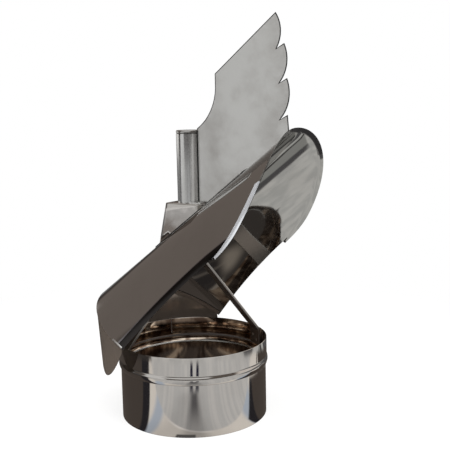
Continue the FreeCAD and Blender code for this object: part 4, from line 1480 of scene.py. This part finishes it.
class SetStage(Operator):
    """Lays the floor, hangs the lights and stands the camera"""

    bl_idname = "cap.set_stage"
    bl_label = "Stage"

    def execute(self, context):
        stage = context.scene.cap_stage
        self.stand_camera(context, stage)
        self.lay_floor(context, stage)
        self.light_world(context)
        self.hang_lights(context)
        context.scene.view_settings.view_transform = "Standard"
        return {"FINISHED"}

    def stand_camera(self, context, stage):
        data = bpy.data.cameras.new("camera")
        data.lens = stage.camera_lens
        data.sensor_width = 36.0
        data.clip_end = 100.0
        camera = bpy.data.objects.new("camera", data)
        context.scene.collection.objects.link(camera)
        turn, dip, roll = stage.camera_azimuth, stage.camera_dip, stage.camera_roll
        right = Vector((math.cos(turn), math.sin(turn), 0))
        ahead = Vector((-math.sin(turn) * math.cos(dip), math.cos(turn) * math.cos(dip), -math.sin(dip)))
        up = right.cross(ahead)
        tilted_right = right * math.cos(roll) - up * math.sin(roll)
        tilted_up = right * math.sin(roll) + up * math.cos(roll)
        place = Matrix((tilted_right, tilted_up, -ahead)).transposed().to_4x4()
        place.translation = Vector(stage.camera_place)
        camera.matrix_world = place
        context.scene.camera = camera

    def lay_floor(self, context, stage):
        build = bmesh.new()
        bmesh.ops.create_circle(build, cap_ends=True, segments=96, radius=stage.floor_radius)
        mesh = bpy.data.meshes.new("floor")
        build.to_mesh(mesh)
        build.free()
        floor = bpy.data.objects.new("floor", mesh)
        context.scene.collection.objects.link(floor)
        material = bpy.data.materials.new("pale floor")
        material.use_nodes = True
        material.node_tree.nodes.clear()
        self.paint_floor(Wiring(material.node_tree))
        mesh.materials.append(material)

    def paint_floor(self, wires):
        """A pale floor that fades to white. Only the polished sheet sees the painted ground instead."""
        where = wires.node("ShaderNodeTexCoord").outputs["Object"]
        away = wires.length(where)
        grain = wires.noise(where, 30.0, 3.0, 0.5)
        pale = wires.mix(wires.math("MULTIPLY", grain, 0.04), grey(0.93), grey(0.88))
        lit = wires.node("ShaderNodeBsdfDiffuse")
        wires.join(pale, lit.inputs["Color"])
        far = wires.node("ShaderNodeEmission")
        far.inputs["Color"].default_value = (*grey(1.0), 1.0)
        seen = wires.mix_shaders(wires.band(away, 0.3, 0.8, 0.8, 1.0), lit, far)
        mirrored = wires.node("ShaderNodeEmission")
        wires.join(self.paint_ground(wires, where, away), mirrored.inputs["Color"])
        ray = wires.node("ShaderNodeLightPath")
        out = wires.node("ShaderNodeOutputMaterial")
        surface = wires.mix_shaders(ray.outputs["Is Glossy Ray"], seen, mirrored)
        wires.join(surface.outputs[0], out.inputs["Surface"])

    def paint_ground(self, wires, where, away):
        """The floor's tones as the polished sheet mirrors them. The low parts see the cap's own shade."""
        reach = wires.node("ShaderNodeLightPath").outputs["Ray Length"]
        close = wires.both(wires.band(reach, 0.2, 0.23), wires.inside_of(away, 0.24, 0.27))
        far = wires.either(close, wires.band(reach, 0.30, 0.34))
        ground = wires.mix(far, self.paint_shaded(wires, where, away), self.paint_open(wires, where, away))
        return wires.mix(wires.band(away, 1.1, 1.3), ground, self.paint_room(wires, where, away))

    def paint_shaded(self, wires, where, away):
        """What the collar mirrors: a lit card before a brown room, with two gaps and a soft shadow."""
        brown = (0.086, 0.071, 0.062)
        heading = wires.heading(where, 1.0)
        outer = wires.band(away, 0.25, 0.28)
        light = self.paint_card(wires, where, heading)
        light = self.shade_card(wires, where, away, outer, light)
        black_half = wires.beyond(where, (0.67, -0.742), 0.0565)
        ground = wires.mix(black_half, brown, (0.028, 0.026, 0.030))
        card_edge = wires.beyond(where, (0.684, -0.73), 0.0805)
        outer_edge = wires.beyond(where, (0.932, -0.363), 0.1016)
        right = wires.either(wires.mix(outer, card_edge, outer_edge), wires.beyond(where, MINUS_Y, 0.0))
        ground = wires.mix(wires.both(wires.beyond(where, (0.829, -0.559), 0.047), right), ground, light)
        gap = wires.both(wires.ray(where, (0.888, -0.459), 0.0995, 0.004, 0.008), outer)
        ground = wires.mix(wires.both(gap, wires.beyond(where, PLUS_Y, 0.05)), ground, brown)
        foot = wires.both(wires.ray(heading, LIP_RUN, 0.0, 0.12, 0.15), wires.inside_of(away, 0.107, 0.11))
        ground = wires.mix(foot, ground, (0.12, 0.115, 0.11))
        across = wires.node("ShaderNodeCombineXYZ")
        wires.join(wires.math("MULTIPLY", wires.dot(where, SIDEWAYS), 28.0), across.inputs[0])
        patches = wires.band(wires.noise(across.outputs[0], 1.0, 2.0, 0.5), 0.48, 0.66)
        inside = wires.mix(patches, (0.032, 0.028, 0.027), (0.22, 0.19, 0.162))
        return wires.mix(wires.band(away, 0.097, 0.1), inside, ground)

    def paint_card(self, wires, where, heading):
        """The lit card: streaked further off, warm with two blue rays near by and white along its edge."""
        fine = wires.noise(wires.heading(where, 16.0), 1.0, 2.0, 0.5)
        card = wires.mix(wires.band(fine, 0.4, 0.6), (0.66, 0.66, 0.65), (0.76, 0.75, 0.73))
        blue = wires.either(
            wires.ray(heading, (0.9945, -0.1045), 0.0, 0.05, 0.16),
            wires.ray(heading, (-0.174, 0.985), 0.0, 0.1, 0.25),
        )
        near = wires.mix(blue, (0.95, 0.90, 0.83), (0.58, 0.65, 0.75))
        light = wires.mix(wires.beyond(where, CARD_WAY, 0.1165), near, card)
        white_line = wires.both(
            wires.ray(where, CARD_WAY, 0.115, 0.001, 0.004), wires.ray(heading, LIP_RUN, 0.0, 0.2, 0.45)
        )
        return wires.mix(white_line, light, (1.25, 1.2, 1.15))

    def shade_card(self, wires, where, away, outer, light):
        """The cap's soft shadow on the card, a darker smear in it and two navy lines beyond."""
        shade = wires.both(
            wires.ray(where, SHADOW_WAY, -0.02, 0.02, 0.09), wires.band(away, 0.24, 0.28, 0.3, 0.0)
        )
        light = wires.mix(shade, light, (0.20, 0.19, 0.19))
        smear = wires.both(
            wires.ray(where, SHADOW_WAY, -0.002, 0.006, 0.032), wires.band(away, 0.12, 0.22, 0.4, 0.85)
        )
        smear = wires.both(smear, wires.math("SUBTRACT", 1.0, outer))
        light = wires.mix(smear, light, (0.05, 0.048, 0.055))
        for way, shift in (((0.82, 0.572), -0.013), ((0.72, 0.694), -0.0216)):
            line = wires.both(wires.ray(where, way, shift, 0.008, 0.012), outer)
            light = wires.mix(line, light, (0.012, 0.012, 0.035))
        return light

    def paint_open(self, wires, where, away):
        """What the hood's inside mirrors: the card, dark lines behind the cap and the collar's mouth."""
        dark = (0.115, 0.112, 0.115)
        cloud = wires.noise(where, 16.0, 3.0, 0.55)
        light = wires.mix(wires.band(cloud, 0.4, 0.62), (0.60, 0.60, 0.585), (0.76, 0.75, 0.725))
        left = wires.inside_of(wires.dot(where, PLUS_X), 0.225, 0.24)
        behind = wires.both(wires.beyond(where, BACK_WAY, 0.105), left)
        ground = wires.mix(behind, light, (0.36, 0.36, 0.345))
        gap = wires.both(wires.ray(where, BACK_WAY, 0.1, 0.018, 0.034), left)
        ground = wires.mix(gap, ground, dark)
        ground = wires.mix(wires.beyond(where, FAR_WAY, 0.102), ground, (0.58, 0.58, 0.56))
        ground = wires.mix(wires.ray(where, FAR_WAY, 0.082, 0.006, 0.016), ground, (0.05, 0.045, 0.045))
        ground = wires.mix(wires.beyond(where, FAR_WAY, 0.138), ground, dark)
        corner = wires.both(wires.beyond(where, PLUS_Y, 0.13), wires.beyond(where, PLUS_X, 0.31))
        ground = wires.mix(corner, ground, dark)
        front = wires.either(wires.beyond(where, (0.73, -0.69), 0.14), wires.beyond(where, (0.6, 0.8), 0.0))
        mouth = wires.both(wires.band(away, 0.094, 0.102), front)
        glow = wires.band(wires.length(where, (-0.035, -0.025, 0.0)), 0.012, 0.05)
        inside = wires.mix(glow, (0.26, 0.225, 0.19), (0.055, 0.048, 0.043))
        return wires.mix(mouth, inside, ground)

    def paint_room(self, wires, where, away):
        """The floor further off, as the tube, the bracket and the wing mirror it on all sides of the cap."""
        heading = wires.heading(where, 1.0)
        room = wires.mix(wires.band(away, 1.9, 2.0), (0.33, 0.30, 0.28), grey(0.62))
        room = wires.mix(wires.band(away, 2.5, 2.8), room, grey(1.0))
        room = wires.mix(wires.band(wires.dot(heading, (0.682, -0.731)), -0.03, 0.06), grey(0.20), room)
        turn = wires.dot(heading, (0.848, 0.53))
        lit = wires.mix(wires.band(wires.math("ABSOLUTE", turn), 0.1, 0.8), grey(0.5), (0.66, 0.66, 0.65))
        lit = wires.mix(wires.band(turn, 0.3, 0.55), lit, (0.90, 0.90, 0.88))
        return wires.mix(wires.band(wires.dot(heading, OPEN_WAY), 0.15, 0.25), room, lit)

    def light_world(self, context):
        """A white surround for the camera and, for everything else, a brown room with its windows."""
        world = bpy.data.worlds.new("studio")
        context.scene.world = world
        world.use_nodes = True
        world.node_tree.nodes.clear()
        wires = Wiring(world.node_tree)
        studio = wires.node("ShaderNodeBackground")
        wires.join(self.paint_walls(wires), studio.inputs["Color"])
        seen = wires.node("ShaderNodeBackground")
        seen.inputs["Color"].default_value = (*grey(1.0), 1.0)
        ray = wires.node("ShaderNodeLightPath")
        out = wires.node("ShaderNodeOutputWorld")
        surface = wires.mix_shaders(ray.outputs["Is Camera Ray"], studio, seen)
        wires.join(surface.outputs[0], out.inputs["Surface"])

    def paint_walls(self, wires):
        window = (0.84, 0.84, 0.83)
        roof = (1.0, 0.98, 0.95)
        way = wires.node("ShaderNodeTexCoord").outputs["Generated"]
        split = wires.node("ShaderNodeSeparateXYZ")
        wires.join(way, split.inputs[0])
        height = split.outputs[2]
        sky = wires.mix(wires.band(height, 0.04, 0.12), (0.05, 0.042, 0.038), (0.160, 0.136, 0.120))
        open_side = wires.band(wires.dot(way, OPEN_WAY), 0.1, 0.22)
        low_window = wires.band(wires.dot(way, (0.41, -0.91)), 0.72, 0.84)
        low_window = wires.both(low_window, wires.band(height, 0.16, 0.24))
        glazed = wires.either(low_window, wires.band(height, 0.42, 0.52))
        sky = wires.mix(wires.both(open_side, glazed), sky, window)
        low = wires.band(wires.dot(way, (-0.407, -0.9135)), 0.93, 0.965)
        sky = wires.mix(wires.both(low, wires.inside_of(height, 0.32, 0.45)), sky, window)
        middle = wires.math("ABSOLUTE", wires.dot(way, SIDEWAYS))
        over = wires.both(wires.band(height, 0.66, 0.8), wires.band(middle, 0.24, 0.32))
        sky = wires.mix(over, sky, roof)
        back = wires.math("MULTIPLY", wires.band(wires.dot(way, (0.64, 0.77)), 0.72, 0.84), 0.8)
        sky = wires.mix(back, sky, (1.0, 0.93, 0.86))
        left = wires.length(wires.stretch(way, (1.0, 1.0, 2.08)), (-1.0, 0.0, 0.0))
        return wires.mix(wires.inside_of(left, 0.40, 0.48), sky, roof)

    def hang_lights(self, context):
        for name, place, width, power in (
            ("overhead softbox", (0.3, -0.3, 2.4), 2.4, 75.0),
            ("left softbox", (-1.8, -1.4, 1.3), 1.4, 22.0),
            ("right softbox", (2.0, -0.6, 1.2), 1.4, 16.0),
        ):
            data = bpy.data.lights.new(name, "AREA")
            data.size = width
            data.energy = power
            light = bpy.data.objects.new(name, data)
            context.scene.collection.objects.link(light)
            light.location = place
            aim = LIGHT_TARGET - Vector(place)
            light.rotation_euler = aim.to_track_quat("-Z", "Y").to_euler()
            light.visible_glossy = False
            light.visible_camera = False


class CapPanel(Panel):
    bl_idname = "VIEW3D_PT_chimney_cap"
    bl_label = "Chimney Cap"
    bl_space_type = "VIEW_3D"
    bl_region_type = "UI"
    bl_category = "Chimney Cap"

    def draw(self, context):
        for operator in OPERATORS:
            self.layout.operator(operator.bl_idname)
        for group in SETTINGS:
            settings = getattr(context.scene, group)
            column = self.layout.column(align=True)
            for name in settings.__annotations__:
                column.prop(settings, name)


SETTINGS = {
    "cap_collar": CollarSizes,
    "cap_strap": StrapSizes,
    "cap_hood": HoodSizes,
    "cap_bracket": BracketSizes,
    "cap_tube": TubeSizes,
    "cap_wing": WingSizes,
    "cap_colours": FinishColours,
    "cap_stage": StageSizes,
}
OPERATORS = (
    MakeCollar, MakeStrap, MakeScoop, MakeApron, MakeBracket, MakeTube, MakeWing,
    FinishSpindle, FinishBearings, SetStage,
)


def register():
    for name, group in SETTINGS.items():
        bpy.utils.register_class(group)
        setattr(bpy.types.Scene, name, PointerProperty(type=group))
    for operator in OPERATORS:
        bpy.utils.register_class(operator)
    bpy.utils.register_class(CapPanel)


def unregister():
    bpy.utils.unregister_class(CapPanel)
    for operator in reversed(OPERATORS):
        bpy.utils.unregister_class(operator)
    for name, group in reversed(SETTINGS.items()):
        delattr(bpy.types.Scene, name)
        bpy.utils.unregister_class(group)


def main():
    register()
    for operator in OPERATORS:
        group, name = operator.bl_idname.split(".")
        getattr(getattr(bpy.ops, group), name)()


if __name__ == "__main__":
    main()
